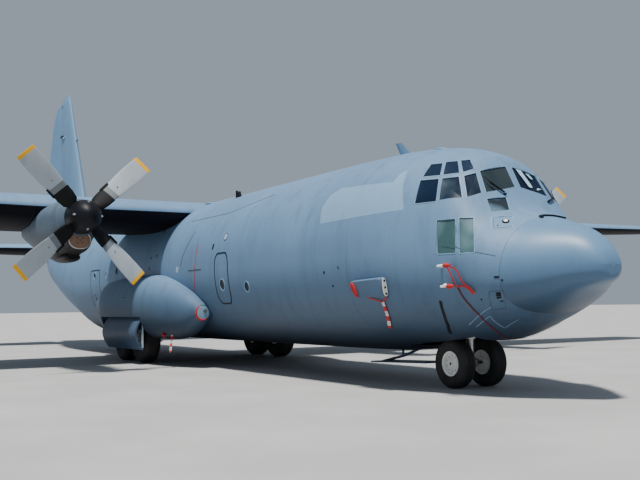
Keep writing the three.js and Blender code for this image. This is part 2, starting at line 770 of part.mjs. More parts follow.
// Flight deck: its floor with the stairwell, and the bulkhead behind it with a doorway
const STAIRWELL = { from: 3600, to: 4900, inner: 760, outer: 1250 };
const DOORWAY = { half: 400, top: 1900 };
const BULKHEAD_DEPTH = 90;
const BULKHEAD_FOOT = 20;
const PANEL = { from: 2180, to: 2330, half: 900, top: 3040 };
const SEAT = { from: 2780, to: 3250, y: 620, half: 240, top: 2460, back: 90, backTop: 3150 };
place(
  'flight_deck',
  cut(
    join(
      box(at(BULKHEAD), at(1750), -2000, 2000, DECK_TOP - DECK_DEPTH, DECK_TOP),
      box(at(BULKHEAD), at(BULKHEAD - BULKHEAD_DEPTH), -2000, 2000, FLOOR_TOP + BULKHEAD_FOOT, 4640),
      box(at(PANEL.to), at(PANEL.from), -PANEL.half, PANEL.half, DECK_TOP - 10, PANEL.top),
      ...[-SEAT.y, SEAT.y].flatMap((y) => [
        box(at(SEAT.to), at(SEAT.from), y - SEAT.half, y + SEAT.half, DECK_TOP - 10, SEAT.top),
        box(at(SEAT.to + 10), at(SEAT.to - SEAT.back), y - SEAT.half, y + SEAT.half, DECK_TOP - 10, SEAT.backTop),
      ]),
    ),
    glazingRoom(),
    box(at(STAIRWELL.to), at(STAIRWELL.from), STAIRWELL.inner, STAIRWELL.outer, 1500, 2500),
    box(at(BULKHEAD + 100), at(BULKHEAD - 200), -DOORWAY.half, DOORWAY.half, FLOOR_TOP - 50, DOORWAY.top),
  ).intersect(inside),
  'floor',
);

// Wing
const outerParts = SIDES.map(({ side, word }) => {
  const flaps = FLAPS.map((span) => ({ ...span, ...flap(side, span) }));
  const aileron = hingedSurface((y) => wingAt(side * y), AILERON.near, AILERON.far, () => AILERON.front);
  return { side, word, flaps, aileron };
});
place('centre_wing', cut(loft(centreWingRings(0)), ...outerParts.map(({ flaps }) => flaps[0].tool)), 'grey');
outerParts.forEach(({ side, word, flaps, aileron }) => {
  place(`outer_wing_${word}`, cut(outerWing(side), flaps[1].tool, ...aileron.tools), 'grey');
  flaps.forEach(({ name, solid }) => place(`${name}_flap_${word}`, solid, 'grey'));
  place(`aileron_${word}`, aileron.solid, 'grey');
});

// Engines
// Columns: distance behind the propeller's plane, half width, height above the shaft, depth below it
const NACELLE = [
  [300, 470, 470, 800],
  [700, 560, 540, 960],
  [1500, 600, 560, 1060],
  [2400, 590, 500, 960],
  [3600, 530, 420, 690],
  [4600, 420, 300, 420],
  [5600, 240, 180, 180],
];
const SKIN = 45;
const FIREWALL = 3300;
const ENGINE = { half: 345, top: -60, bottom: -520, from: 520 };
const INTAKE = { half: 260, up: 200, down: 200, below: 545 };
const SHAFT_RADIUS = 70;
const ENGINES = [
  { y: 10150, z: 3960, word: 'outer_left' },
  { y: 4950, z: 3780, word: 'inner_left' },
  { y: -4950, z: 3780, word: 'inner_right' },
  { y: -10150, z: 3960, word: 'outer_right' },
].map((engine) => ({ ...engine, plane: engine.y > 9000 || engine.y < -9000 ? 12000 : 11700 }));

function nacelleRing([behind, half, up, down], { y, z, plane }, inset = 0) {
  return ovalRing(
    { x: at(plane + behind), y, z, half: half - inset, up: up - inset, down: down - inset, power: 2.2 },
    NACELLE_POINTS,
  );
}

function nacelle(engine) {
  const { y, z, plane } = engine;
  const outer = loft(NACELLE.map((row) => nacelleRing(row, engine)));
  const hollowRows = NACELLE.filter(([behind]) => behind < FIREWALL).map(([behind, ...size], k) =>
    [k === 0 ? behind + SKIN : behind, ...size]);
  hollowRows.push([FIREWALL, 545, 440, 757]);
  const hollow = loft(hollowRows.map((row) => nacelleRing(row, engine, SKIN)));
  const mouth = loft([200, 420].map((behind) =>
    ovalRing({ x: at(plane + behind), y, z: z - INTAKE.below, ...INTAKE }, 12)));
  const block = box(
    at(plane + FIREWALL + 20), at(plane + ENGINE.from), y - ENGINE.half, y + ENGINE.half,
    z + ENGINE.bottom, z + ENGINE.top,
  );
  const shaft = bar(at3(at(plane + 310), y, z), at3(at(plane + 60), y, z), SHAFT_RADIUS);
  const { flaps } = outerParts.find(({ side }) => side === Math.sign(y));
  const outboard = Math.abs(y) > WING.breakY;
  const wing = outboard ? outerWing(Math.sign(y), GAP) : wingTool;
  return cut(join(cut(outer, hollow, mouth), block, shaft), wing, flaps[outboard ? 1 : 0].tool);
}

// Columns: distance from the shaft, chord, thickness, pitch from the propeller's plane
const BLADE = [
  [250, 170, 150, 40],
  [420, 260, 130, 38],
  [600, 440, 100, 35],
  [1000, 490, 62, 28],
  [1500, 520, 42, 22],
  [1960, 500, 26, 17],
  [2055, 460, 20, 16],
];
const BLADES = 4;
const BLADE_POINTS = 8;
const BLADE_TURN = 43; // of the blades from upright
const SPINNER = [[0, 640], [200, 570], [330, 400], [390, 200], [400, 0], [400, -200], [0, -200]];

function propeller({ y, z, plane }) {
  const outline = SPINNER.map(([radius, ahead]) => new THREE.Vector2(radius, ahead));
  const turned = new THREE.LatheGeometry(outline.reverse(), 16);
  turned.rotateZ(-Math.PI / 2);
  const hub = solidFrom(turned);
  const blade = loft(
    BLADE.map(([distance, chord, thickness, pitch]) =>
      Array.from({ length: BLADE_POINTS }, (_, k) => {
        const angle = (2 * Math.PI * k) / BLADE_POINTS;
        const across = (chord / 2) * Math.cos(angle);
        const through = (thickness / 2) * Math.sin(angle);
        const turn = degrees(pitch);
        return at3(
          across * Math.sin(turn) + through * Math.cos(turn),
          across * Math.cos(turn) - through * Math.sin(turn),
          distance,
        );
      }),
    ),
  );
  const blades = Array.from({ length: BLADES }, (_, k) =>
    blade.rotate([BLADE_TURN + (360 / BLADES) * k, 0, 0]));
  const bore = bar(at3(-400, 0, 0), at3(-60 + GAP, 0, 0), SHAFT_RADIUS + BORE_GAP);
  return cut(join(hub, ...blades), bore).translate([at(plane), y, z]);
}

ENGINES.forEach((engine) => {
  place(`nacelle_${engine.word}`, nacelle(engine), 'grey');
  place(`propeller_${engine.word}`, propeller(engine), 'dark');
});

// Tail
const middleCove = coveTool([-ELEVATOR.near - 1, ELEVATOR.near + 1], stabiliserAt, elevatorFront);
const tailInner = STABILISER.half - 300;
const stabiliserHatch = box(at(31200), at(30600), -150, 150, 3700, STABILISER.height);
place(
  'stabiliser',
  cut(
    loft(stabiliserRings(0)),
    sparHollow([-tailInner, 0, tailInner], stabiliserAt, TAIL_BOX),
    stabiliserHatch,
    middleCove,
    ...elevators.flatMap(({ tools }) => tools),
  ),
  'grey',
);
elevators.forEach(({ word, solid }) => place(`elevator_${word}`, solid, 'grey'));

const rudderFront = (z) => {
  const section = finAt(z);
  return (RUDDER.hinge - (at(0) - section.edge.x)) / section.chord;
};

function finPieces() {
  const { near, far, rest, hinge } = RUDDER;
  const bodySkin = body(23400, LENGTH, -GAP);
  const main = loft([FIN.foot - 300, near, far, HEIGHT].map((z) => foilRing(finAt(z), 0)));
  const dorsal = loft([FIN.foot - 300, FIN.dorsalTop].map((z, k) => {
    const section = finAt(z);
    const edge = k === 0 ? at(FIN.dorsalEdge) : section.edge.x - 100;
    const chord = edge - section.edge.x + 1500;
    return foilRing({ ...section, edge: at3(edge, 0, z), chord, ratio: 330 / chord }, 0);
  }));
  const rings = [near + RUNNING_GAP, mix(near, far, 0.5), far - RUNNING_GAP].map((z) =>
    foilRing(finAt(z), rudderFront(z)));
  const radius = foilHalf(finAt(near), rudderFront(near));
  const slot = box(at(hinge + 4000), at(hinge - radius) + RUNNING_GAP, -2000, 2000, near, far);
  const pin = (grow) => bar(at3(at(hinge), 0, near - 40 - grow), at3(at(hinge), 0, far + 40 + grow), PIN_RADIUS + grow);
  const rudder = join(loft(rings), pin(0))
    .translate([-at(hinge), 0, 0])
    .rotate([0, 0, rest])
    .translate([at(hinge), 0, 0]);
  const hollow = sparHollow([FIN.foot - 400, HEIGHT - 300], finAt, TAIL_BOX);
  return { fin: cut(join(main, dorsal), hollow, slot, pin(GAP), bodySkin), rudder };
}
const { fin, rudder } = finPieces();
place('fin', fin, 'grey');
place('rudder', rudder, 'grey');

// Wheel fairings on the hull's sides
// Columns: station, half height, half width, height of the middle, its distance out
const SPONSON = [
  [11400, 200, 220, 1420, 1950],
  [11900, 500, 380, 1390, 2000],
  [12400, 660, 490, 1420, 2030],
  [13100, 790, 620, 1500, 2050],
  [14000, 875, 710, 1585, 2050],
  [15200, 900, 750, 1595, 2050],
  [17400, 890, 730, 1560, 2050],
  [18300, 720, 500, 1610, 2050],
  [19100, 400, 260, 1650, 2050],
  [19900, 120, 80, 1700, 2050],
];

// Main gear doors hang open outboard of the wheels, from the fairing's lower edge
const GEAR_DOOR = { from: 14000, to: 16950, top: 1310, bottom: 400, y: 2650, bulge: 200, wall: 50, steps: 6 };

function gearDoor(side) {
  const { from, to, top, bottom, y, bulge, wall, steps } = GEAR_DOOR;
  const rings = Array.from({ length: steps + 1 }, (_, k) => {
    const reach = y + bulge * Math.sin((Math.PI * k) / steps);
    const z = mix(top - GAP, bottom, k / steps);
    const corners = [[from, reach], [to, reach], [to, reach - wall], [from, reach - wall]];
    return corners.map(([station, out]) => at3(at(station), side * out, z));
  });
  return loft(rings);
}
const hullTool = body(SPONSON[0][0] - 300, SPONSON[SPONSON.length - 1][0] + 300, -GAP);

SIDES.forEach(({ side, word }) => {
  const outer = loft(SPONSON.map(([station, tall, wide, z, out]) =>
    ovalRing({ x: at(station), y: side * out, z, half: wide, up: tall, down: tall, power: 2.3 }, NACELLE_POINTS)));
  const well = box(at(WELL.from), at(WELL.to), side * 1000, side * WELL.outer, 300, WELL.roof);
  const { from, top } = GEAR_DOOR;
  const doorway = box(at(from - 50), at(WELL.to), side * 1000, side * 3200, 300, top);
  place(`wheel_fairing_${word}`, cut(outer, hullTool, well, doorway), 'grey');
  place(`main_gear_door_${word}`, gearDoor(side), 'grey');
});

// Main wheels
const FLAT = Math.cos(Math.PI / WHEEL_SIDES); // a flat's distance from the axle over a corner's
const tyreProfile = (radius, width, rim) => [
  [rim, -width * 0.36],
  [rim + (radius - rim) * 0.45, -width * 0.5],
  [radius - (radius - rim) * 0.2, -width * 0.44],
  [radius / FLAT, -width * 0.25],
  [radius / FLAT, width * 0.25],
  [radius - (radius - rim) * 0.2, width * 0.44],
  [rim + (radius - rim) * 0.45, width * 0.5],
  [rim, width * 0.36],
];
const rimProfile = (radius, width, bore) => [
  [bore, -width * 0.3],
  [radius * 0.75, -width * 0.16],
  [radius * 0.8, -width * 0.36],
  [radius, -width * 0.38],
  [radius, width * 0.38],
  [radius * 0.8, width * 0.36],
  [radius * 0.75, width * 0.16],
  [bore, width * 0.3],
];

SIDES.forEach(({ side, word }) => {
  MAIN.stations.forEach((station, k) => {
    const name = `${k === 0 ? 'front' : 'rear'}_${word}`;
    const centre = at3(at(station), side * MAIN.track, MAIN.radius);
    const tyre = turnedAboutY(tyreProfile(MAIN.radius, MAIN.width, MAIN.rim + GAP), centre, WHEEL_SIDES);
    const rim = turnedAboutY(rimProfile(MAIN.rim, MAIN.width, MAIN.axle + BORE_GAP), centre, WHEEL_SIDES);
    place(`main_tyre_${name}`, tyre, 'rubber');
    place(`main_rim_${name}`, rim, 'white');
  });
  const legs = MAIN.stations.map((station) => join(
    bar(at3(at(station), side * MAIN_LEG.y, MAIN.radius - 90), at3(at(station), side * MAIN_LEG.y, WELL.roof - GAP),
      MAIN_LEG.radius),
    bar(at3(at(station), side * MAIN_LEG.y, MAIN.radius), at3(at(station), side * (MAIN.track + 170), MAIN.radius),
      MAIN.axle),
  ));
  const [front, rear] = MAIN.stations;
  const brace = box(at(rear), at(front), side * (MAIN_LEG.y - 50), side * (MAIN_LEG.y + 50), 1500, 1640);
  place(`main_gear_${word}`, join(...legs, brace), 'metal');
});

// Nose gear
const noseY = NOSE.half + NOSE.width / 2;
SIDES.forEach(({ side, word }) => {
  const centre = at3(at(NOSE.station), side * NOSE.half, NOSE.radius);
  const tyre = turnedAboutY(tyreProfile(NOSE.radius, NOSE.width, NOSE.rim + GAP), centre, WHEEL_SIDES);
  place(`nose_tyre_${word}`, tyre, 'rubber');
});
const noseHub = at3(at(NOSE.station), 0, NOSE.radius);
place(
  'nose_rims',
  join(
    ...SIDES.map(({ side }) => turnedAboutY(
      rimProfile(NOSE.rim, NOSE.width, NOSE.axle - 5), noseHub.clone().add(at3(0, side * NOSE.half, 0)), WHEEL_SIDES,
    )),
    bar(at3(noseHub.x, -noseY + 60, noseHub.z), at3(noseHub.x, noseY - 60, noseHub.z), NOSE.axle),
  ),
  'white',
);
const LEG = { outer: 100, inner: 72, clear: 3.2, foot: 900, pistonTop: 1300, fork: 95 };
place(
  'nose_leg',
  cut(
    join(
      bar(at3(noseHub.x, 0, LEG.foot), at3(noseHub.x, 0, BAY.roof - GAP), LEG.outer),
      ...SIDES.map(({ side }) =>
        bar(at3(noseHub.x, 0, 1000), at3(noseHub.x - 700, side * 260, BAY.roof - 45), 40)),
    ),
    bar(at3(noseHub.x, 0, LEG.foot - 50), at3(noseHub.x, 0, LEG.pistonTop), LEG.inner + LEG.clear),
  ),
  'metal',
);
place(
  'nose_steering',
  cut(
    join(
      bar(at3(noseHub.x, 0, NOSE.radius), at3(noseHub.x, 0, LEG.pistonTop - GAP), LEG.inner),
      bar(at3(noseHub.x, -LEG.fork, NOSE.radius), at3(noseHub.x, LEG.fork, NOSE.radius), 90),
    ),
    bar(at3(noseHub.x, -300, NOSE.radius), at3(noseHub.x, 300, NOSE.radius), NOSE.axle + BORE_GAP),
  ),
  'metal',
);

// The nose gear's rear door hangs level below the belly on an arm
const NOSE_DOOR = { from: 4400, to: 6300, half: 300, z: 400, wall: 30, drop: -60 };
const doorZ = (station) => NOSE_DOOR.z + (NOSE_DOOR.drop * (station - NOSE_DOOR.from)) / (NOSE_DOOR.to - NOSE_DOOR.from);
place(
  'nose_gear_door',
  cut(
    join(
      loft([NOSE_DOOR.from, NOSE_DOOR.to].map((station) => [
        at3(at(station), -NOSE_DOOR.half, doorZ(station)),
        at3(at(station), NOSE_DOOR.half, doorZ(station)),
        at3(at(station), NOSE_DOOR.half, doorZ(station) + NOSE_DOOR.wall),
        at3(at(station), -NOSE_DOOR.half, doorZ(station) + NOSE_DOOR.wall),
      ])),
      bar(at3(at(4850), 0, 700), at3(at(5540), 0, 490), 28),
      bar(at3(at(5530), 0, 493), at3(at(6250), 0, doorZ(6250) + 15), 28),
      bar(at3(at(5540), 0, 490), at3(at(5540), 0, 700), 24),
    ),
    body(4000, 7000, -GAP),
  ),
  'grey',
);

export default group;
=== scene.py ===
# Looks of a four-engined transport plane, written in full-size metres and shown at 1:2
import math

import bmesh
import bpy
from mathutils import Matrix, Vector


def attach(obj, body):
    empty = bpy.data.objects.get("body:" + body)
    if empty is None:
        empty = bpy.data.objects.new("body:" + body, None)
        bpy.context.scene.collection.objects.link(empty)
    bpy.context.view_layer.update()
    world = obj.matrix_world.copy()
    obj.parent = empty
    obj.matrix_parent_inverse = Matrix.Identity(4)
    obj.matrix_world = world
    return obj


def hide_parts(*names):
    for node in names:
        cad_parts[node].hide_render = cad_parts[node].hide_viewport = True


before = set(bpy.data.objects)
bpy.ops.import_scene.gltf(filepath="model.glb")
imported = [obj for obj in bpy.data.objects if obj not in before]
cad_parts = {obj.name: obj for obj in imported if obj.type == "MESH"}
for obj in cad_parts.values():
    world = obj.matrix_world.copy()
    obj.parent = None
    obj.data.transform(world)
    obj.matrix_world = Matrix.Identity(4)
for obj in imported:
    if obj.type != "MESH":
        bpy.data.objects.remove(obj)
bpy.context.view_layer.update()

# Full-size places are station behind the nose tip, Y to port and Z up
SCALE = 0.5
HALF_LENGTH = 17.185
AIRFRAME = "airframe"
SIDES = ((1, "left"), (-1, "right"))


def at(station, y, z):
    return Vector((HALF_LENGTH - station, y, z))


def mix(a, b, t):
    return a + (b - a) * t


def power(value, exponent):
    return math.copysign(abs(value) ** exponent, value)


def circle(count, first=0.0):
    """Angles all round, in radians"""
    return [first + 2 * math.pi * k / count for k in range(count)]


def steps_between(corners, steps):
    """Pairs of numbers in even steps along a run of corners"""
    run = []
    for (a, b), (c, d) in zip(corners[:-1], corners[1:]):
        run += [(mix(a, c, k / steps), mix(b, d, k / steps)) for k in range(steps)]
    return run + [corners[-1]]


# Materials
class Finish:
    """A material's shader, with short calls for the nodes that feed it"""

    def __init__(self, name, colour, roughness, metallic=0.0):
        self.material = bpy.data.materials.new(name)
        self.material.use_nodes = True
        self.nodes = self.material.node_tree.nodes
        self.links = self.material.node_tree.links
        self.shader = self.nodes["Principled BSDF"].inputs
        self.place = self.nodes.new("ShaderNodeTexCoord").outputs["Object"]
        self.set("Base Color", colour)
        self.set("Roughness", roughness)
        self.set("Metallic", metallic)

    def feed(self, socket, value):
        if isinstance(value, bpy.types.NodeSocket):
            self.links.new(value, socket)
        elif isinstance(value, tuple):
            socket.default_value = (*value, 1)
        else:
            socket.default_value = value

    def set(self, name, value):
        self.feed(self.shader[name], value)

    def noise(self, scale, detail=3.0, stretch=None):
        texture = self.nodes.new("ShaderNodeTexNoise")
        texture.inputs["Scale"].default_value = scale
        texture.inputs["Detail"].default_value = detail
        place = self.place
        if stretch:
            mapping = self.nodes.new("ShaderNodeMapping")
            mapping.inputs["Scale"].default_value = stretch
            self.links.new(place, mapping.inputs["Vector"])
            place = mapping.outputs["Vector"]
        self.links.new(place, texture.inputs["Vector"])
        return texture.outputs["Fac"]

    def math(self, operation, a, b=None, clamp=False):
        node = self.nodes.new("ShaderNodeMath")
        node.operation = operation
        node.use_clamp = clamp
        self.feed(node.inputs[0], a)
        if b is not None:
            self.feed(node.inputs[1], b)
        return node.outputs[0]

    def above(self, value, level, gain):
        """How far a value rises past a level, held between 0 and 1"""
        return self.math("MULTIPLY", self.math("SUBTRACT", value, level, True), gain, True)

    def blend(self, factor, a, b):
        node = self.nodes.new("ShaderNodeMix")
        node.data_type = "RGBA"
        self.feed(node.inputs["Factor"], factor)
        colours = [socket for socket in node.inputs if socket.type == "RGBA"]
        self.feed(colours[0], a)
        self.feed(colours[1], b)
        return [socket for socket in node.outputs if socket.type == "RGBA"][0]

    def axis(self, name):
        axes = self.nodes.new("ShaderNodeSeparateXYZ")
        self.links.new(self.place, axes.inputs[0])
        return axes.outputs[name]

    def bump(self, height, strength, distance):
        node = self.nodes.new("ShaderNodeBump")
        node.inputs["Strength"].default_value = strength
        node.inputs["Distance"].default_value = distance
        self.links.new(height, node.inputs["Height"])
        self.set("Normal", node.outputs["Normal"])


# Half width of a painted seam, how much it darkens the paint and how deep it looks
SEAM = {"half": 0.003, "shade": 0.2, "depth": 1.5}


def seam_mask(finish, axis, places):
    coordinate = finish.axis(axis)
    total = None
    for place in places:
        off = finish.math("ABSOLUTE", finish.math("SUBTRACT", coordinate, place))
        near = finish.math("LESS_THAN", off, SEAM["half"])
        total = near if total is None else finish.math("MAXIMUM", total, near)
    return total


def paint(name, colour, roughness=0.55, dirt=0.35, stains=0.12,
          seams=(), waterlines=(), belly=None, shine=0.3):
    """Matt aircraft paint: tone patches, run-down dirt, specks, seams, and painted shade that darkens it
    towards the bottom
    """
    finish = Finish(name, colour, roughness)
    dark = tuple(c * 0.55 for c in colour)
    light = tuple(min(1, c * 1.18 + 0.01) for c in colour)
    patches = finish.noise(0.9, 4.0)
    base = finish.blend(finish.above(patches, 0.42, 2.2), colour, light)
    runs = finish.noise(3.0, 5.0, (2.4, 2.4, 0.35))
    base = finish.blend(finish.above(runs, 0.5, dirt * 4), base, dark)
    specks = finish.noise(26.0, 6.0)
    base = finish.blend(finish.above(specks, 0.56, stains * 9), base, dark)
    # Painted shade: by height, the colour fades to the given dark grey towards the bottom
    if belly:
        low, high, shade = belly
        depth = finish.nodes.new("ShaderNodeMapRange")
        for socket, value in (("From Min", low), ("From Max", high), ("To Min", 1), ("To Max", 0)):
            depth.inputs[socket].default_value = value
        finish.links.new(finish.axis("Z"), depth.inputs["Value"])
        base = finish.blend(depth.outputs["Result"], base, shade)
    height = specks
    for axis, places in (("X", [HALF_LENGTH - s for s in seams]), ("Z", waterlines)):
        if places:
            mask = seam_mask(finish, axis, [place * SCALE for place in places])
            base = finish.blend(finish.math("MULTIPLY", mask, SEAM["shade"]), base, dark)
            height = finish.math("SUBTRACT", height, finish.math("MULTIPLY", mask, SEAM["depth"]))
    finish.set("Base Color", base)
    finish.bump(height, 0.12, 0.002)
    finish.set("Roughness", finish.math("ADD", finish.math("MULTIPLY", patches, 0.18), roughness - 0.09))
    finish.set("Specular IOR Level", shine)
    return finish.material


def metal(name, colour, roughness=0.35):
    finish = Finish(name, colour, roughness, 0.9)
    marks = finish.noise(40.0, 5.0)
    dark = tuple(c * 0.45 for c in colour)
    finish.set("Base Color", finish.blend(finish.above(marks, 0.5, 2.5), colour, dark))
    finish.set("Roughness", finish.math("ADD", finish.math("MULTIPLY", marks, 0.3), roughness - 0.12))
    return finish.material


def rubber(name, colour, dust):
    finish = Finish(name, colour, 0.8)
    film = finish.above(finish.noise(9.0, 6.0), 0.45, 1.6)
    finish.set("Base Color", finish.blend(film, colour, dust))
    finish.bump(finish.noise(120.0, 3.0), 0.25, 0.002)
    return finish.material


def pane(name, deep, light, scale, stretch=None):
    """Opaque glass seen from outside by day: what lies behind it, with its light and shade painted in soft
    tones under a clear coat
    """
    finish = Finish(name, deep, 0.35)
    lift = finish.above(finish.noise(scale, 2.0, stretch), 0.42, 4.0)
    finish.set("Base Color", finish.blend(lift, deep, light))
    finish.set("Specular IOR Level", 0.12)
    finish.set("Coat Weight", 0.12)
    finish.set("Coat Roughness", 0.05)
    return finish.material


def cloth(name, colour, second=None, stripe=0.09):
    """Webbing, in one colour or in two colours by height"""
    finish = Finish(name, colour, 0.85)
    base = colour
    if second:
        turn = finish.math("MULTIPLY", finish.axis("Z"), 1 / stripe)
        half = finish.math("GREATER_THAN", finish.math("FRACT", turn), 0.5)
        base = finish.blend(half, colour, second)
    weave = finish.noise(260.0, 2.0)
    dark = tuple(c * 0.5 for c in colour)
    finish.set("Base Color", finish.blend(finish.math("MULTIPLY", weave, 0.5), base, dark))
    finish.bump(weave, 0.3, 0.001)
    return finish.material


HULL_SEAMS = (
    2.42, 3.34, 4.6, 6.15, 7.7, 9.2, 10.9, 12.4, 13.9, 15.6,
    17.3, 18.9, 19.8, 22.2, 23.6, 25.6, 27.6, 29.7, 32.0,
)
WATERLINES = (1.5, 3.9)
HULL_GREY = (0.13, 0.236, 0.378)
# Painted shade: the dark grey that the hull and radome fade to towards the bottom
PAINTED_BELLY_SHADE = (0.009, 0.016, 0.029)
# Painted shade: near black for the undersides of the wings and the tail
SHADE_GREY = (0.006, 0.006, 0.01)
# Painted shade: the dark brown that the engine cowlings fade to towards the bottom
COWL_UNDERSIDE_SHADE = (0.014, 0.012, 0.013)

HULL = paint("hull_paint", HULL_GREY, seams=HULL_SEAMS, waterlines=WATERLINES, belly=(0.38, 1.25, PAINTED_BELLY_SHADE))
RADOME = paint("radome_paint_with_belly_shade", (0.112, 0.22, 0.36), 0.42, 0.12, 0.05, belly=(0.6, 1.2, PAINTED_BELLY_SHADE))
WING_TOP = paint("wing_top_paint", HULL_GREY, dirt=0.3)
UNDERSIDE_PAINTED_SHADE = paint("underside_painted_shade", SHADE_GREY, 0.7, 0.3, shine=0.08)
COWL = paint("cowling_paint_with_underside_shade", (0.095, 0.145, 0.2), 0.5, 0.75, 0.3, belly=(1.52, 1.8, COWL_UNDERSIDE_SHADE))
TAIL = paint("tail_paint", (0.137, 0.26, 0.41), 0.55, 0.25)
DOOR = paint("gear_door_paint", (0.046, 0.083, 0.14), 0.5, 0.3)
INNER = paint("inner_paint", (0.33, 0.36, 0.34), 0.6, 0.5)
LINER = paint("liner_paint", (0.09, 0.1, 0.105), 0.7, 0.4)
PANEL = paint("pale_panel_paint", (0.2, 0.33, 0.46), 0.5, 0.15)
BLACK = paint("black_paint", (0.004, 0.005, 0.008), 0.45, 0.1, 0.1, shine=0.15)
CUFF = paint("cuff_rubber", (0.008, 0.008, 0.009), 0.6, 0.3, shine=0.12)
BLADE_GREY = paint("blade_paint", (0.34, 0.39, 0.43), 0.45, 0.3, 0.1)
BLADE_BAND = paint("blade_band_paint", (0.15, 0.175, 0.19), 0.5, 0.2)
TIP_YELLOW = paint("blade_tip_paint", (0.8, 0.4, 0.0), 0.5, 0.15)
WHITE = paint("white_paint", (0.86, 0.87, 0.82), 0.4, 0.35, 0.1)
RED = paint("red_paint", (0.42, 0.025, 0.03), 0.6, 0.1)
PLUG = paint("intake_plug", (0.24, 0.15, 0.105), 0.8, 0.4)
PALE = paint("pale_mark", (0.34, 0.46, 0.58), 0.6, 0.2)
LINE_GREY = paint("panel_line_paint", (0.05, 0.08, 0.12), 0.6, 0.1)
PATCH = paint("repaint_patch", (0.2, 0.34, 0.5), 0.5, 0.15)
STEEL = metal("bare_steel", (0.62, 0.63, 0.64))
DARK_STEEL = metal("dark_steel", (0.12, 0.115, 0.11), 0.5)
LIP = metal("intake_lip_metal", (0.55, 0.5, 0.45), 0.4)
RUBBER = rubber("tyre_rubber", (0.017, 0.017, 0.018), (0.055, 0.05, 0.046))
# Painted shade: the dark panes stand in for the dim inside behind the glass, and the curtains are darkened as
# in shade
GLASS = pane("window_glass", (0.001, 0.006, 0.018), (0.003, 0.015, 0.04), 1.6)
REAR_GLASS = pane("side_window_glass", (0.002, 0.012, 0.03), (0.04, 0.075, 0.1), 3.4)
CURTAINED = pane("curtained_glass", (0.02, 0.032, 0.04), (0.042, 0.055, 0.058), 2.5, (1, 1, 0.3))
FOLDED = pane("gathered_curtain_glass", (0.02, 0.03, 0.04), (0.1, 0.17, 0.23), 3.0, (1, 1, 2.6))
GREEN_GLASS = pane("lower_window_glass", (0.045, 0.1, 0.11), (0.13, 0.23, 0.26), 4.2, (1, 1, 0.55))
SKY_GLINT = pane("sky_glint_glass", (0.3, 0.48, 0.62), (0.5, 0.68, 0.8), 5.0)
RED_CLOTH = cloth("red_webbing", (0.5, 0.02, 0.02))
STREAMER = cloth("streamer_webbing", (0.55, 0.02, 0.025), (0.75, 0.74, 0.72))
DARK_CLOTH = cloth("dark_red_webbing", (0.12, 0.012, 0.014))


# Forms
class Form:
    """Points and faces at full size, each face with the number of its material"""

    def __init__(self):
        self.points = []
        self.faces = []
        self.marks = []

    def join(self, other):
        base = len(self.points)
        self.points.extend(other.points)
        self.faces.extend(tuple(i + base for i in face) for face in other.faces)
        self.marks.extend(other.marks)
        return self

    def grid(self, rings, wrap, mark_at):
        """Faces between each ring and the next one, and where wrap is set from the last to the first"""
        count = len(rings[0])
        base = len(self.points)
        self.points.extend(p for ring in rings for p in ring)
        for row in range(len(rings) if wrap else len(rings) - 1):
            here = base + row * count
            following = base + (row + 1) % len(rings) * count
            for k in range(count):
                j = (k + 1) % count
                self.faces.append((here + k, here + j, following + j, following + k))
                self.marks.append(mark_at(row))
        return base

    def loft(self, rings, mark=0, caps=True, marks=None):
        count = len(rings[0])
        mark_at = lambda row: marks[min(row, len(rings) - 2)] if marks else mark
        base = self.grid(rings, False, mark_at)
        for row in (0, len(rings) - 1) if caps else ():
            hub = len(self.points)
            self.points.append(sum(rings[row], Vector()) / count)
            start = base + row * count
            self.faces.extend((hub, start + k, start + (k + 1) % count) for k in range(count))
            self.marks.extend([mark_at(row)] * count)
        return self

    def tube(self, outer, inner):
        """A closed wall between two sets of rings, mark 0 outside and mark 1 inside"""
        self.grid(outer + inner[::-1], True, lambda row: 1 if row >= len(outer) - 1 else 0)
        return self

    def box(self, x0, x1, y0, y1, z0, z1, mark=0):
        base = len(self.points)
        self.points.extend(Vector((x, y, z)) for x in (x0, x1) for y in (y0, y1) for z in (z0, z1))
        sides = ((0, 1, 3, 2), (4, 6, 7, 5), (0, 4, 5, 1), (2, 3, 7, 6), (0, 2, 6, 4), (1, 5, 7, 3))
        self.faces.extend(tuple(i + base for i in side) for side in sides)
        self.marks.extend([mark] * len(sides))
        return self

    def bar(self, a, b, radius, end=None, sides=16, mark=0):
        end = radius if end is None else end
        along = (b - a).normalized()
        across = along.cross(Vector((0, 0, 1)) if abs(along.z) < 0.9 else Vector((1, 0, 0))).normalized()
        other = along.cross(across)
        ring = lambda p, r: [p + (across * math.cos(t) + other * math.sin(t)) * r for t in circle(sides)]
        return self.loft([ring(a, radius), ring(b, end)], mark)

    def strip(self, places, normals, width, thick, closed=False, mark=0):
        """A thin band that follows places on a surface"""
        rings = []
        count = len(places)
        for k, (p, n) in enumerate(zip(places, normals)):
            before = places[k - 1] if k or closed else places[k]
            after = places[(k + 1) % count] if k < count - 1 or closed else places[k]
            side = (after - before).cross(n).normalized() * width / 2
            lift = n * thick
            rings.append([p - side - lift, p + side - lift, p + side + lift, p - side + lift])
        if closed:
            rings.append(rings[0])
        return self.loft(rings, mark, caps=not closed)

    def turned(self, profile, centre, axis, segments, mark=0):
        """A solid turned about a line along an axis, from a closed profile of (radius, place along)"""
        axis = Vector(axis)
        u = Vector((0, 0, 1)) if abs(axis.z) < 0.9 else Vector((1, 0, 0))
        v = axis.cross(u)
        rings = []
        for t in circle(segments):
            direction = u * math.cos(t) + v * math.sin(t)
            rings.append([centre + axis * along + direction * radius for radius, along in profile])
        self.grid(rings, True, lambda row: mark)
        return self

    def moved(self, change):
        self.points = [change(p) for p in self.points]
        return self


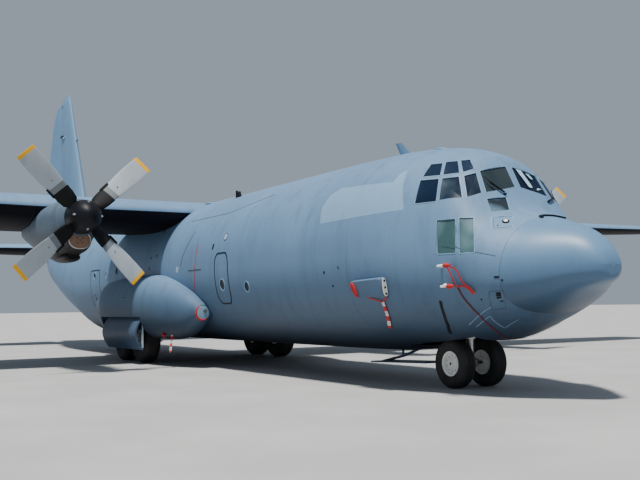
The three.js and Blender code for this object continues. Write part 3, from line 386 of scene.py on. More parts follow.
def mesh_from(name, form, materials):
    mesh = bpy.data.meshes.new(name)
    mesh.from_pydata([p * SCALE for p in form.points], [], form.faces)
    for material in materials:
        mesh.materials.append(material)
    if len(materials) > 1:
        mesh.polygons.foreach_set("material_index", form.marks)
    work = bmesh.new()
    work.from_mesh(mesh)
    bmesh.ops.remove_doubles(work, verts=work.verts, dist=1e-6)
    bmesh.ops.recalc_face_normals(work, faces=work.faces)
    work.to_mesh(mesh)
    work.free()
    return mesh


def linked(name, mesh):
    obj = bpy.data.objects.new(name, mesh)
    bpy.context.scene.collection.objects.link(obj)
    return obj


def carve(obj, operation, form):
    """Cuts with, joins or keeps what is inside a closed form"""
    tool = linked("tool", mesh_from("tool", form, [obj.data.materials[0]]))
    change = obj.modifiers.new("change", "BOOLEAN")
    change.operation = operation
    change.solver = "EXACT"
    change.object = tool
    bpy.context.view_layer.update()
    result = bpy.data.meshes.new_from_object(obj.evaluated_get(bpy.context.evaluated_depsgraph_get()))
    obj.modifiers.clear()
    old = obj.data
    obj.data = result
    bpy.data.meshes.remove(old)
    bpy.data.objects.remove(tool)


CUT, KEEP, JOIN = "DIFFERENCE", "INTERSECT", "UNION"
SHARP = math.radians(32)


def piece(name, form, materials, body=AIRFRAME, hides=(), cuts=()):
    materials = materials if isinstance(materials, list) else [materials]
    obj = linked(name, mesh_from(name, form, materials))
    for operation, tool in cuts:
        carve(obj, operation, tool)
    for polygon in obj.data.polygons:
        polygon.use_smooth = True
    obj.data.set_sharp_from_angle(angle=SHARP)
    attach(obj, body)
    if hides:
        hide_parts(*hides)
    return obj


def finish_node(name, material):
    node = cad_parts[name]
    node.data.materials.clear()
    node.data.materials.append(material)


# Fuselage
# Columns: station, height of the top, of the bottom, half width, height of the widest point, upper power
BODY = [
    (0.0, 2.09, 1.96, 0.086, 2.15, 2.0),
    (0.4, 2.696, 1.788, 0.56, 2.07, 2.0),
    (1.15, 2.979, 1.43, 1.143, 1.98, 2.0),
    (1.7, 3.126, 1.182, 1.434, 2.15, 2.2),
    (2.5, 4.244, 0.895, 1.608, 2.33, 2.08),
    (3.6, 4.542, 0.796, 1.945, 2.457, 2.13),
    (5.2, 4.65, 0.635, 2.005, 2.61, 2.0),
    (7.0, 4.662, 0.622, 2.02, 2.64, 2.0),
    (22.4, 4.662, 0.622, 2.02, 2.64, 2.0),
    (24.5, 4.662, 1.2, 2.0, 2.75, 2.0),
    (27.0, 4.65, 2.08, 1.83, 3.05, 2.0),
    (29.5, 4.62, 2.9, 1.4, 3.45, 2.0),
    (32.0, 4.5, 3.5, 0.8, 3.9, 2.0),
    (34.37, 4.15, 3.85, 0.15, 4.0, 2.0),
]
LOWER_POWER = 2.4
# Stations run close together at the blunt nose, so the curve is drawn over their square root
BODY_PLACES = [math.sqrt(row[0]) for row in BODY]


def body_slope(column, k):
    rise = lambda i: (BODY[i + 1][column] - BODY[i][column]) / (BODY_PLACES[i + 1] - BODY_PLACES[i])
    if k == 0:
        return rise(0)
    if k == len(BODY) - 1:
        return rise(k - 1)
    before, after = rise(k - 1), rise(k)
    return 0.0 if before * after <= 0 else 2 * before * after / (before + after)


def hermite(a, b, slope_a, slope_b, t):
    """A smooth curve between two values, with its slopes per whole step"""
    square, cube = t ** 2, t ** 3
    return ((2 * cube - 3 * square + 1) * a + (cube - 2 * square + t) * slope_a
            + (3 * square - 2 * cube) * b + (cube - square) * slope_b)


def body_curve(column, station):
    here = math.sqrt(max(0.0, station))
    row = 0
    while row < len(BODY) - 2 and here > BODY_PLACES[row + 1]:
        row += 1
    step = BODY_PLACES[row + 1] - BODY_PLACES[row]
    slopes = [step * body_slope(column, k) for k in (row, row + 1)]
    return hermite(BODY[row][column], BODY[row + 1][column], *slopes, (here - BODY_PLACES[row]) / step)


SECTIONS = {}


def section(station):
    key = round(station, 5)
    if key not in SECTIONS:
        SECTIONS[key] = [body_curve(column, station) for column in range(1, 6)]
    return SECTIONS[key]


def on_body(station, angle, inset=0.0):
    """A point round the section, from port over the top, in degrees"""
    top, bottom, half, widest, upper = section(station)
    turn = math.radians(angle)
    rising = math.sin(turn) >= 0
    shape = 2 / (upper if rising else LOWER_POWER)
    reach = (top - widest if rising else widest - bottom) - inset
    y = (half - inset) * power(math.cos(turn), shape)
    return at(station, y, widest + reach * power(math.sin(turn), shape))


def body_normal(station, angle):
    station = max(0.05, station)
    along = on_body(station + 0.01, angle) - on_body(station - 0.01, angle)
    around = on_body(station, angle + 0.3) - on_body(station, angle - 0.3)
    return along.cross(around).normalized()


def lifted(station, angle, lift):
    return on_body(station, angle) + body_normal(station, angle) * lift


def lifted_all(outline, lift):
    return [lifted(s, a, lift) for s, a in outline]


def normals_of(outline):
    return [body_normal(s, a) for s, a in outline]


def side_angle(station, z, side=-1):
    """The angle of a height on one side"""
    top, bottom, half, widest, upper = section(station)
    if z >= widest:
        share = ((z - widest) / (top - widest)) ** (upper / 2)
    else:
        share = -((widest - z) / (widest - bottom)) ** (LOWER_POWER / 2)
    turn = math.degrees(math.asin(max(-1.0, min(1.0, share))))
    return turn if side > 0 else 180 - turn


ROUND = 144


def ring_of(station, inset=0.0):
    return [on_body(station, 360 * k / ROUND, inset) for k in range(ROUND)]


def body_rings(start, end, step, inset=0.0):
    count = max(1, round((end - start) / step))
    return [ring_of(mix(start, end, k / count), inset) for k in range(count + 1)]


def skin(start, end, step, wall=0.06):
    return Form().tube(body_rings(start, end, step), body_rings(start, end, step, wall))


def rounded(radius, steps=5):
    """A unit square with rounded corners"""
    outline = []
    far = 1 - radius
    for cx, cy, first in ((far, far, 0), (radius, far, 90), (radius, radius, 180), (far, radius, 270)):
        for k in range(steps + 1):
            t = math.radians(first + 90 * k / steps)
            outline.append((cx + radius * math.cos(t), cy + radius * math.sin(t)))
    return outline


def spread(corners, u, v):
    """A place between four (station, angle) corners, which run round the outline"""
    a, b, c, d = corners
    return [mix(mix(a[i], d[i], u), mix(b[i], c[i], u), v) for i in (0, 1)]


def outline_on_body(corners, radius):
    return [spread(corners, u, v) for u, v in rounded(radius)]


def mirrored(corners):
    return [(station, 180 - angle) for station, angle in corners]


# Depths of the glass under the skin, and how far a cutting tool reaches in and out
GLASS_OUTSIDE = -0.012
GLASS_INSIDE = -0.024
CUT_INSIDE = -0.2
CUT_OUTSIDE = 0.12
PANES = [GLASS, REAR_GLASS, CURTAINED, FOLDED, GREEN_GLASS]
# Columns: look of the starboard pane, look of the port pane, then four corners of station and angle
WINDOWS = [
    (0, 0, (3.045, 136.4), (3.089, 125.8), (2.899, 123.2), (2.746, 133.2)),
    (0, 0, (2.703, 132.3), (2.866, 121.6), (2.692, 118.0), (2.451, 127.1)),
    (0, 0, (2.414, 125.1), (2.658, 116.7), (2.543, 112.7), (2.346, 117.0)),
    (0, 0, (2.954, 153.6), (3.045, 139.0), (2.727, 135.8), (2.575, 150.0)),
    (1, 1, (2.522, 149.2), (2.668, 135.0), (2.412, 129.5), (2.183, 137.8)),
    (0, 0, (2.141, 134.1), (2.362, 126.6), (2.288, 117.4), (2.07, 121.3)),
    (2, 0, (2.046, 117.5), (2.283, 114.0), (2.27, 92.2), (2.04, 91.9)),
    (3, None, (1.99, 119.5), (1.947, 103.1), (1.78, 106.5), (1.838, 122.4)),
    (4, 4, (2.456, 160.3), (2.13, 152.5), (1.987, 173.2), (2.369, 177.3)),
    (4, 4, (2.083, 149.4), (1.913, 138.8), (1.65, 166.0), (1.911, 171.9)),
]
# Columns: station, height, radius
PORTHOLES = [
    (8.86, 2.02, 0.11), (10.18, 2.1, 0.13), (18.15, 2.76, 0.11), (19.18, 2.66, 0.11), (20.5, 2.68, 0.11),
]

window_tools = Form()
porthole_tools = Form()
panes = Form()
frames = Form()


def glaze(outline, tools, look=0):
    """A hole through the skin and the pane that fills it"""
    tools.loft([lifted_all(outline, CUT_INSIDE), lifted_all(outline, CUT_OUTSIDE)])
    panes.loft([lifted_all(outline, GLASS_INSIDE), lifted_all(outline, GLASS_OUTSIDE)], look)


for starboard, port, *corners in WINDOWS:
    for four, look in ((corners, starboard), (mirrored(corners), port)):
        if look is None:
            continue
        outline = outline_on_body(four, 0.05)
        glaze(outline, window_tools, look)
        rim = lifted_all(outline, 0.001)
        middle = sum(rim, Vector()) / len(rim)
        rim = [p + (p - middle).normalized() * 0.008 for p in rim]
        frames.strip(rim, normals_of(outline), 0.014, 0.003, closed=True)


def disc_outline(station, z, radius, side):
    place = lambda t: side_angle(station, z + radius * math.sin(t), side)
    return [(station + radius * math.cos(t), place(t)) for t in circle(24)]


for station, z, radius in PORTHOLES:
    for side in (-1, 1):
        outline = disc_outline(station, z, radius, side)
        glaze(outline, porthole_tools)
        rim = disc_outline(station, z, radius + 0.012, side)
        frames.strip(lifted_all(rim, 0.002), normals_of(outline), 0.028, 0.006, closed=True)

piece("window_panes", panes, PANES, hides=["flight_deck_glazing"])
piece("window_frames", frames, PANEL)

RADOME_JOINT = 1.265
NOSE_END = 4.6
FORWARD_END = 12.4
CENTRE_END = 18.9
AFT_END = 32.0
LENGTH = 34.37
LINE = 0.002
RUN = 0.014
SKIN = [HULL, LINER]


def side_box(start, end, side, low, high, near=0.9, far=2.6):
    """A box beside the centreline, between two stations"""
    ys = sorted((side * near, side * far))
    return Form().box(HALF_LENGTH - end, HALF_LENGTH - start, *ys, low, high)


# A height below the belly, where the cutting boxes start
BELOW = 0.3
BAY = {"from": 2.5, "to": 4.4, "half": 0.7, "roof": 1.48, "plate": 0.04}


def bay_box(grow, low):
    half = BAY["half"] + grow
    return side_box(BAY["from"] - grow, BAY["to"] + grow, 1, low, BAY["roof"] + grow, -half, half)


# Columns: start, end, bottom, top
CREW_DOOR = (3.56, 4.32, 1.05, 2.25)
CREW_HINGE = {"y": 1.2688, "z": 1.056, "clear": 0.1}
DOOR_GAP = 0.012
sill_ends = [at(station, CREW_HINGE["y"], CREW_HINGE["z"]) for station in CREW_DOOR[:2]]
sill_cut = Form().bar(*sill_ends, CREW_HINGE["clear"], sides=28)
radome_stations = [0.0, 0.004, 0.012, 0.025, 0.045, 0.07, 0.1, 0.14, 0.19, 0.25, 0.32]
radome_stations += [0.4 + 0.1 * k for k in range(9)] + [RADOME_JOINT - LINE]
piece("radome_skin", Form().loft([ring_of(s) for s in radome_stations]), RADOME, hides=["radome"])
piece("nose_skin", skin(RADOME_JOINT + LINE, NOSE_END - LINE, 0.085), SKIN, hides=["nose_section"], cuts=[
    (JOIN, bay_box(BAY["plate"], 0.9)),
    (KEEP, Form().loft(body_rings(RADOME_JOINT - 0.1, NOSE_END + 0.1, 0.1, -0.003))),
    (CUT, bay_box(0.0, BELOW)), (CUT, window_tools),
    (CUT, side_box(CREW_DOOR[0], CREW_DOOR[1], 1, CREW_DOOR[2], CREW_DOOR[3])), (CUT, sill_cut),
])
start, end, low, high = CREW_DOOR
crew_door_tool = side_box(start + DOOR_GAP, end - DOOR_GAP, 1, low + RUN, high - DOOR_GAP)
piece("crew_door_skin", skin(3.4, 4.5, 0.1), SKIN, "crew_door", hides=["crew_door"],
      cuts=[(KEEP, crew_door_tool)])
piece("forward_skin", skin(NOSE_END + LINE, FORWARD_END - LINE, 0.4), SKIN, hides=["forward_fuselage"],
      cuts=[(CUT, porthole_tools)])

WELL = {"from": 14.15, "to": 17.33, "inner": 1.6, "outer": 2.5, "roof": 2.28, "plate": 0.05}
well_walls = Form()
well_cut = Form()
plate = WELL["plate"]
for side in (-1, 1):
    well_walls.join(side_box(WELL["from"] - plate, WELL["to"] + plate, side, 0.9, WELL["roof"] + plate,
                             WELL["inner"] - plate, 1.98))
    well_cut.join(side_box(WELL["from"], WELL["to"], side, BELOW, WELL["roof"], WELL["inner"], WELL["outer"]))
piece("centre_skin", skin(FORWARD_END + LINE, CENTRE_END - LINE, 0.4), SKIN, hides=["centre_fuselage"], cuts=[
    (JOIN, well_walls), (CUT, well_cut), (CUT, porthole_tools),
])

RAMP = {
    "hinge": 22.64, "hinge_z": 0.8, "radius": 0.22, "end": 25.6, "half": 1.52,
    "rear_top": 1.93, "lean": 0.13, "sill": 1.56,
}
# Columns: station, half width, top, and which way it moves as the form grows
AFT_DOOR = ((25.614, 1.42, 2.7, -1), (29.6, 0.95, 3.6, 1))
SIDE_DOOR = (19.98, 20.96, 1.03, 2.85)
SIDE_DOOR_GAP = 0.008


def ramp_form(grow):
    """The ramp seen from the side: a rounded nose at its hinge and a leaning rear edge"""
    reach = RAMP["radius"] + grow
    end = RAMP["end"] + grow
    corners = [(end - RAMP["lean"], RAMP["rear_top"] + grow)]
    for k in range(17):
        t = math.pi / 2 + math.pi * k / 16
        corners.append((RAMP["hinge"] + reach * math.cos(t), RAMP["hinge_z"] + reach * math.sin(t)))
    corners += [(RAMP["hinge"] + 0.4, 0.2), (end, 0.7), (end, RAMP["sill"])]
    half = RAMP["half"] + grow
    return Form().loft([[at(s, y, z) for s, z in corners] for y in (-half, half)])


def aft_door_form(grow):
    rings = []
    for station, reach, top, way in AFT_DOOR:
        half = reach + grow
        corners = ((-half, BELOW), (half, BELOW), (half, top), (-half, top))
        rings.append([at(station + way * grow, y, z) for y, z in corners])
    return Form().loft(rings)


def side_door_box(side, gap=0.0):
    start, end, low, high = SIDE_DOOR
    return side_box(start + gap, end - gap, side, low + gap, high - gap)


piece("aft_skin", skin(CENTRE_END + LINE, AFT_END - LINE, 0.4), SKIN, hides=["aft_fuselage"], cuts=[
    (CUT, ramp_form(RUN)), (CUT, aft_door_form(RUN)), (CUT, side_door_box(-1).join(side_door_box(1))),
])
piece("tail_cone_skin", Form().loft(body_rings(AFT_END + LINE, LENGTH, 0.25)), HULL, hides=["tail_cone"])
piece("ramp_skin", Form().loft(body_rings(22.0, 26.5, 0.3)), HULL, "cargo_ramp", hides=["cargo_ramp"],
      cuts=[(KEEP, ramp_form(0.0))])
piece("aft_door_skin", skin(25.0, 30.5, 0.3, 0.09), SKIN, "aft_cargo_door", hides=["aft_cargo_door"],
      cuts=[(KEEP, aft_door_form(-RUN))])
for side, word in SIDES:
    piece(f"side_door_skin_{word}", skin(19.7, 21.3, 0.2), SKIN, hides=[f"side_door_{word}"],
          cuts=[(KEEP, side_door_box(side, SIDE_DOOR_GAP)), (CUT, porthole_tools)])


# Wing-like sections
def foil_half(chord, ratio, u):
    curve = 0.2969 * math.sqrt(u) - 0.126 * u - 0.3516 * u ** 2 + 0.2843 * u ** 3 - 0.1036 * u ** 4
    return chord * (5 * ratio * curve + 0.0025 * u)


FOIL_STEPS = 26
NOSE_STEPS = 8


def foil_outline(s, front=0.0):
    """A closed outline of (behind, height), and how many of its points are on the upper side"""
    chord, ratio, camber = s["chord"], s["ratio"], s.get("camber", 0.0)
    middle = lambda u: chord * camber * 4 * u * (1 - u)
    radius = foil_half(chord, ratio, front)
    places = []
    for k in range(1, NOSE_STEPS + 1) if front > 0 else ():
        t = math.pi / 2 * k / NOSE_STEPS
        places.append((front * chord - radius * math.cos(t), middle(front), radius * math.sin(t)))
    for k in range(1, FOIL_STEPS + 1):
        u = front + (1 - front) * (1 - math.cos(math.pi * k / FOIL_STEPS)) / 2
        places.append((u * chord, middle(u), foil_half(chord, ratio, u)))
    upper = [(behind, line + half) for behind, line, half in places]
    lower = [(behind, line - half) for behind, line, half in places]
    return [(front * chord - radius, middle(front))] + upper + lower[::-1], len(upper)


def on_foil(s, behind, height):
    edge = s["edge"]
    if s.get("upright"):
        return Vector((edge.x - behind, edge.y + height, edge.z))
    turn = math.radians(s.get("twist", 0.0))
    down, along = math.sin(turn), math.cos(turn)
    return Vector((edge.x - behind * along - height * down, edge.y, edge.z - behind * down + height * along))


def foil_form(sections, front=None):
    """A wing-like solid: mark 0 above, mark 1 below"""
    outlines = [foil_outline(s, front(s) if front else 0.0) for s in sections]
    count, upper = len(outlines[0][0]), outlines[0][1]
    form = Form().loft([[on_foil(s, *p) for p in outline] for s, (outline, _) in zip(sections, outlines)])
    sides = (len(sections) - 1) * count
    form.marks = [1 if k < sides and k % count >= upper else 0 for k in range(len(form.faces))]
    return form


def slim(s, narrow, thin=1.0, back=0.0):
    """A section with a shorter chord, its leading edge moved back by a share of what is lost"""
    lost = s["chord"] * (1 - narrow) * back
    return dict(s, chord=s["chord"] * narrow, ratio=s["ratio"] * thin, edge=s["edge"] - Vector((lost, 0, 0)))


def cove(places, section_at, front_at):
    """What a carrier loses behind a line just ahead of its hinged surface"""
    rings = []
    for s in map(section_at, places):
        ahead = front_at(s) * s["chord"] - foil_half(s["chord"], s["ratio"], front_at(s)) - RUN
        behind = s["chord"] + 1.2
        rings.append([on_foil(s, *p) for p in ((ahead, -1.2), (ahead, 1.2), (behind, 1.2), (behind, -1.2))])
    return Form().loft(rings)


WING = {
    "edge": 13.9, "chord": 4.88, "tip_chord": 2.59, "tip_back": 0.57, "break": 5.59, "height": 4.25,
    "rise": 0.28, "ratio": 0.18, "tip_ratio": 0.12, "twist": 3.0, "camber": 0.018,
}
TIP_Y = 20.205
AILERON = {"near": 13.3, "far": 19.3, "front": 0.76}
FLAPS = {"inner": (2.25, 5.48), "outer": (5.72, 13.18)}
FLAP_FRONT = 0.72
# Top paint, and near black painted shade underneath
WING_PAINT_AND_SHADE = [WING_TOP, UNDERSIDE_PAINTED_SHADE]
# Columns: distance out over the last stretch, share of the chord, share of the thickness
TIP_REACH = 0.4
TIP_SHAPE = (
    (0.0, 1.0, 1.0), (0.15, 0.985, 0.93), (0.27, 0.93, 0.8), (0.35, 0.82, 0.6), (0.39, 0.68, 0.35),
    (TIP_REACH, 0.55, 0.16),
)


def wing_at(y):
    out = max(0.0, (abs(y) - WING["break"]) / (TIP_Y - WING["break"]))
    return {
        "edge": at(WING["edge"] + WING["tip_back"] * out, y, WING["height"] + WING["rise"] * out),
        "chord": mix(WING["chord"], WING["tip_chord"], out),
        "ratio": mix(WING["ratio"], WING["tip_ratio"], out),
        "twist": mix(WING["twist"], 0.0, out), "camber": WING["camber"],
    }


flap_front = lambda s: FLAP_FRONT
aileron_front = lambda s: AILERON["front"]


def flap_cove(name, side):
    return cove([side * y for y in FLAPS[name]], wing_at, flap_front)


centre = foil_form([wing_at(y) for y in (-WING["break"] + LINE, -2.5, 0, 2.5, WING["break"] - LINE)])
piece("centre_wing_skin", centre, WING_PAINT_AND_SHADE, hides=["centre_wing"],
      cuts=[(CUT, flap_cove("inner", -1)), (CUT, flap_cove("inner", 1))])
for side, word in SIDES:
    sections = [wing_at(side * y) for y in (WING["break"] + LINE, 9.4, 13.24, 16.5)]
    for reach, narrow, thin in TIP_SHAPE:
        sections.append(slim(wing_at(side * (TIP_Y - TIP_REACH + reach)), narrow, thin / narrow, 0.5))
    aileron_cove = cove([side * AILERON["near"], side * AILERON["far"]], wing_at, aileron_front)
    piece(f"outer_wing_skin_{word}", foil_form(sections), WING_PAINT_AND_SHADE, hides=[f"outer_wing_{word}"],
          cuts=[(CUT, flap_cove("outer", side)), (CUT, aileron_cove)])
    for name, (near, far) in FLAPS.items():
        ends = [wing_at(side * y) for y in (near + RUN, mix(near, far, 0.5), far - RUN)]
        flap = f"{name}_flap_{word}"
        piece(f"{name}_flap_skin_{word}", foil_form(ends, flap_front), WING_PAINT_AND_SHADE, flap, hides=[flap])
    ends = [wing_at(side * y) for y in (AILERON["near"] + RUN, 16.3, AILERON["far"] - RUN)]
    aileron = f"aileron_{word}"
    piece(f"aileron_skin_{word}", foil_form(ends, aileron_front), WING_PAINT_AND_SHADE, aileron, hides=[aileron])

# Tail
STABILISER = {
    "edge": 29.35, "chord": 4.35, "tip_chord": 1.85, "tip_back": 1.35,
    "half": 8.025, "height": 4.23, "ratio": 0.13,
}
ELEVATOR = {"near": 0.85, "far": 7.75, "hinge": 32.15}
FIN = {"edge": 27.9, "tip_edge": 31.4, "chord": 5.96, "tip_chord": 1.85, "foot": 4.4, "ratio": 0.12}
RUDDER = {"near": 4.9, "far": 11.25, "hinge": 32.5, "rest": 22.0}
HEIGHT = 11.66


def stabiliser_at(y):
    out = abs(y) / STABILISER["half"]
    return {
        "edge": at(STABILISER["edge"] + STABILISER["tip_back"] * out, y, STABILISER["height"]),
        "chord": mix(STABILISER["chord"], STABILISER["tip_chord"], out), "ratio": STABILISER["ratio"],
    }


def fin_at(z):
    up = (z - FIN["foot"]) / (HEIGHT - FIN["foot"])
    return {
        "edge": at(mix(FIN["edge"], FIN["tip_edge"], up), 0, z), "upright": True,
        "chord": mix(FIN["chord"], FIN["tip_chord"], up), "ratio": FIN["ratio"],
    }


def share_at(hinge, s):
    """Where a hinge line lies on a section's chord"""
    return (hinge - (HALF_LENGTH - s["edge"].x)) / s["chord"]


elevator_front = lambda s: share_at(ELEVATOR["hinge"], s)
rudder_front = lambda s: share_at(RUDDER["hinge"], s)
half = STABILISER["half"]
tips = ((half, 0.7), (half - 0.12, 0.9), (half - 0.3, 1.0))
ends = [(-y, narrow) for y, narrow in tips] + [(0, 1.0)] + list(tips[::-1])
sections = [slim(stabiliser_at(y), narrow, narrow ** 2, 0.6) for y, narrow in ends]
near, far = ELEVATOR["near"], ELEVATOR["far"]
piece("stabiliser_skin", foil_form(sections), [TAIL, UNDERSIDE_PAINTED_SHADE], hides=["stabiliser"], cuts=[
    (CUT, cove(places, stabiliser_at, elevator_front))
    for places in ((-far, -near + 0.001), (near - 0.001, far), (-near - 0.001, near + 0.001))
])
for side, word in SIDES:
    ends = [stabiliser_at(side * y) for y in (near + RUN, 4.3, far - RUN)]
    piece(f"elevator_skin_{word}", foil_form(ends, elevator_front), [TAIL, UNDERSIDE_PAINTED_SHADE], "elevators",
          hides=[f"elevator_{word}"])

sections = [fin_at(z) for z in (FIN["foot"] - 0.2, 6.5, 9.0, 11.0)]
sections.append(slim(fin_at(RUDDER["far"]), 0.86))
for z, narrow in ((11.4, 0.74), (11.5, 0.6), (11.6, 0.44), (HEIGHT, 0.28)):
    sections.append(slim(fin_at(z), narrow, mix(1, narrow, 0.4), 0.12))
fin = foil_form(sections)
pivot = Vector((HALF_LENGTH - RUDDER["hinge"], 0, 0))
behind_fin = Form().box(pivot.x - 4, pivot.x + 0.34, -2, 2, RUDDER["near"], RUDDER["far"])
piece("fin_skin", fin, TAIL, hides=["fin"], cuts=[(CUT, behind_fin)])
rings = []
for k in range(7):
    z = mix(FIN["foot"] - 0.3, 6.1, k / 6)
    s = fin_at(z)
    front = HALF_LENGTH - mix(26.0, 28.85, (k / 6) ** 0.8)
    chord = front - s["edge"].x + 1.5
    fillet = dict(s, edge=Vector((front, 0, z)), chord=chord, ratio=0.33 / chord)
    rings.append([on_foil(fillet, *p) for p in foil_outline(fillet)[0]])
piece("dorsal_skin", Form().loft(rings), TAIL)
# Columns: height, share of the chord
RUDDER_SHAPE = (
    (RUDDER["near"] + RUN, 1.0), (7.0, 1.0), (9.0, 0.99), (10.2, 0.95), (10.8, 0.9), (11.05, 0.85),
    (RUDDER["far"] - RUN, 0.78),
)
rudder = foil_form([slim(fin_at(z), narrow) for z, narrow in RUDDER_SHAPE], rudder_front)
turn = Matrix.Rotation(math.radians(RUDDER["rest"]), 3, "Z")
rudder.moved(lambda p: turn @ (p - pivot) + pivot)
piece("rudder_skin", rudder, TAIL, "rudder", hides=["rudder"])

# Engines
# Columns: distance behind the propeller's plane, half width, height above the shaft, depth below it
NACELLE = [
    (0.25, 0.40, 0.41, 0.4), (0.27, 0.425, 0.435, 0.45), (0.34, 0.46, 0.465, 0.52), (0.5, 0.505, 0.5, 0.62),
    (0.8, 0.56, 0.54, 0.8), (1.5, 0.6, 0.555, 0.96), (2.4, 0.6, 0.5, 0.92), (3.6, 0.53, 0.42, 0.66),
    (4.6, 0.42, 0.3, 0.41), (5.3, 0.3, 0.22, 0.25), (5.6, 0.22, 0.17, 0.17),
]
# Columns: distance behind the plane, half width, half height, height of the middle
CHIN = [
    (0.3, 0.27, 0.212, -0.545), (0.33, 0.295, 0.237, -0.545), (0.45, 0.325, 0.265, -0.55),
    (0.8, 0.38, 0.3, -0.565), (1.6, 0.42, 0.32, -0.58), (2.6, 0.38, 0.26, -0.55),
]
SCOOP = [
    (0.86, 0.16, 0.07, -0.93), (0.95, 0.2, 0.1, -0.93), (1.3, 0.22, 0.12, -0.93), (2.0, 0.22, 0.12, -0.9),
    (3.0, 0.15, 0.08, -0.75),
]
# Columns: name, distance out, height, station of the propeller's plane
ENGINES = [
    ("outer_left", 10.15, 3.96, 12.0), ("inner_left", 4.95, 3.78, 11.7),
    ("inner_right", -4.95, 3.78, 11.7), ("outer_right", -10.15, 3.96, 12.0),
]


def oval(x, y, z, half, up, down, count=64, shape=2.2):
    ring = []
    for t in circle(count):
        reach = up if math.sin(t) >= 0 else down
        across, rise = power(math.cos(t), 2 / shape), power(math.sin(t), 2 / shape)
        ring.append(Vector((x, y + half * across, z + reach * rise)))
    return ring


def smooth_rows(rows, steps):
    """More rows on a smooth curve through a table's rows"""
    out = []
    for k in range(len(rows) - 1):
        before, a, b, after = rows[max(0, k - 1)], rows[k], rows[k + 1], rows[min(len(rows) - 1, k + 2)]
        for j in range(steps):
            row = [mix(a[0], b[0], j / steps)]
            for i in range(1, len(a)):
                slope_a = (b[i] - before[i]) / (b[0] - before[0]) * (b[0] - a[0])
                slope_b = (after[i] - a[i]) / (after[0] - a[0]) * (b[0] - a[0])
                row.append(hermite(a[i], b[i], slope_a, slope_b, j / steps))
            out.append(row)
    return out + [rows[-1]]


# Columns: distance from the shaft, chord, thickness, pitch from the propeller's plane, material
BLADE = [
    (0.25, 0.22, 0.15, 40, 1), (0.4, 0.28, 0.14, 38, 1), (0.47, 0.42, 0.13, 37, 1),
    (0.64, 0.47, 0.11, 34, 1), (0.83, 0.47, 0.09, 31, 1), (0.84, 0.44, 0.07, 31, 1),
    (0.985, 0.46, 0.065, 29, 2), (0.99, 0.46, 0.065, 29, 3), (1.25, 0.5, 0.052, 25, 3),
    (1.5, 0.52, 0.042, 22, 3), (1.75, 0.51, 0.03, 19, 3), (1.962, 0.5, 0.024, 17, 3),
    (2.03, 0.485, 0.02, 16.5, 4), (2.048, 0.475, 0.016, 16, 4), (2.055, 0.45, 0.01, 16, 4),
]
BLADE_TURN = 43
# Columns: radius, place ahead of the plane
SPINNER = [
    (0.05, 0.632), (0.11, 0.61), (0.18, 0.565), (0.25, 0.5), (0.31, 0.42), (0.355, 0.33), (0.39, 0.22),
    (0.41, 0.08), (0.415, -0.08), (0.41, -0.21), (0.36, -0.23),
]
BOOT = {"chord": 0.47, "out": 0.012, "in": 0.035, "half": 0.04, "rows": ((0.78, 32), (1.04, 28.5))}
STUD = {"distance": 1.13, "radius": 0.018, "proud": 0.05}
BOLT = {"ahead": 0.34, "out": 0.33, "radius": 0.024, "length": 0.08}
PROPELLER_PAINT = [BLACK, CUFF, BLADE_BAND, BLADE_GREY, TIP_YELLOW]


def blade_point(across, through, pitch, distance):
    turn = math.radians(pitch)
    return Vector((across * math.sin(turn) + through * math.cos(turn),
                   across * math.cos(turn) - through * math.sin(turn), distance))


def blade_form():
    """One upright blade with the rubber boot on its leading edge and a stud"""
    rings = []
    for distance, chord, thick, pitch, _ in BLADE:
        rings.append([blade_point(chord / 2 * math.cos(t), thick / 2 * math.sin(t), pitch, distance)
                      for t in circle(24)])
    form = Form().loft(rings, marks=[row[4] for row in BLADE[1:]])
    front = -BOOT["chord"] / 2 - BOOT["out"]
    back = -BOOT["chord"] / 2 + BOOT["in"]
    thick = BOOT["half"]
    corners = ((front, thick), (back, thick), (back, -thick), (front, -thick))
    form.loft([[blade_point(*corner, pitch, distance) for corner in corners]
               for distance, pitch in BOOT["rows"]], 1)
    stud = Vector((0, 0, STUD["distance"]))
    return form.bar(stud, stud + Vector((STUD["proud"], 0, 0)), STUD["radius"], sides=10, mark=2)


def propeller_form(centre):
    form = Form()
    form.loft([[Vector((ahead, radius * math.cos(t), radius * math.sin(t))) for t in circle(64)]
               for radius, ahead in SPINNER])
    for quarter in range(4):
        turned = BLADE_TURN + 90 * quarter
        bolt = Matrix.Rotation(math.radians(turned + 45), 3, "X") @ Vector((BOLT["ahead"], 0, BOLT["out"]))
        form.bar(bolt, bolt + Vector((BOLT["length"], 0, 0)), BOLT["radius"], sides=12, mark=3)
        spin = Matrix.Rotation(math.radians(turned), 3, "X")
        form.join(blade_form().moved(lambda p: spin @ p))
    return form.moved(lambda p: p + centre)


MOUTH = {"back": 0.3, "z": -0.545, "half": 0.262, "tall": 0.205, "roll": 0.018}
MOUTH_PLUG = ((-0.02, 1.0), (0.012, 1.0), (0.022, 0.96), (0.026, 0.85))
PLUG_BUTTONS = ((0, 0), (-0.07, 0.05), (0.07, 0.05), (-0.05, -0.07), (0.05, -0.07))


def lip_point(mouth, t, a):
    """A point on the rolled lip: t round the mouth, a round the roll"""
    roll = MOUTH["roll"] * math.sin(a)
    return mouth + Vector((0.012 + 0.02 * math.cos(a), power(math.cos(t), 0.9) * (MOUTH["half"] + roll),
                           power(math.sin(t), 0.9) * (MOUTH["tall"] + roll)))


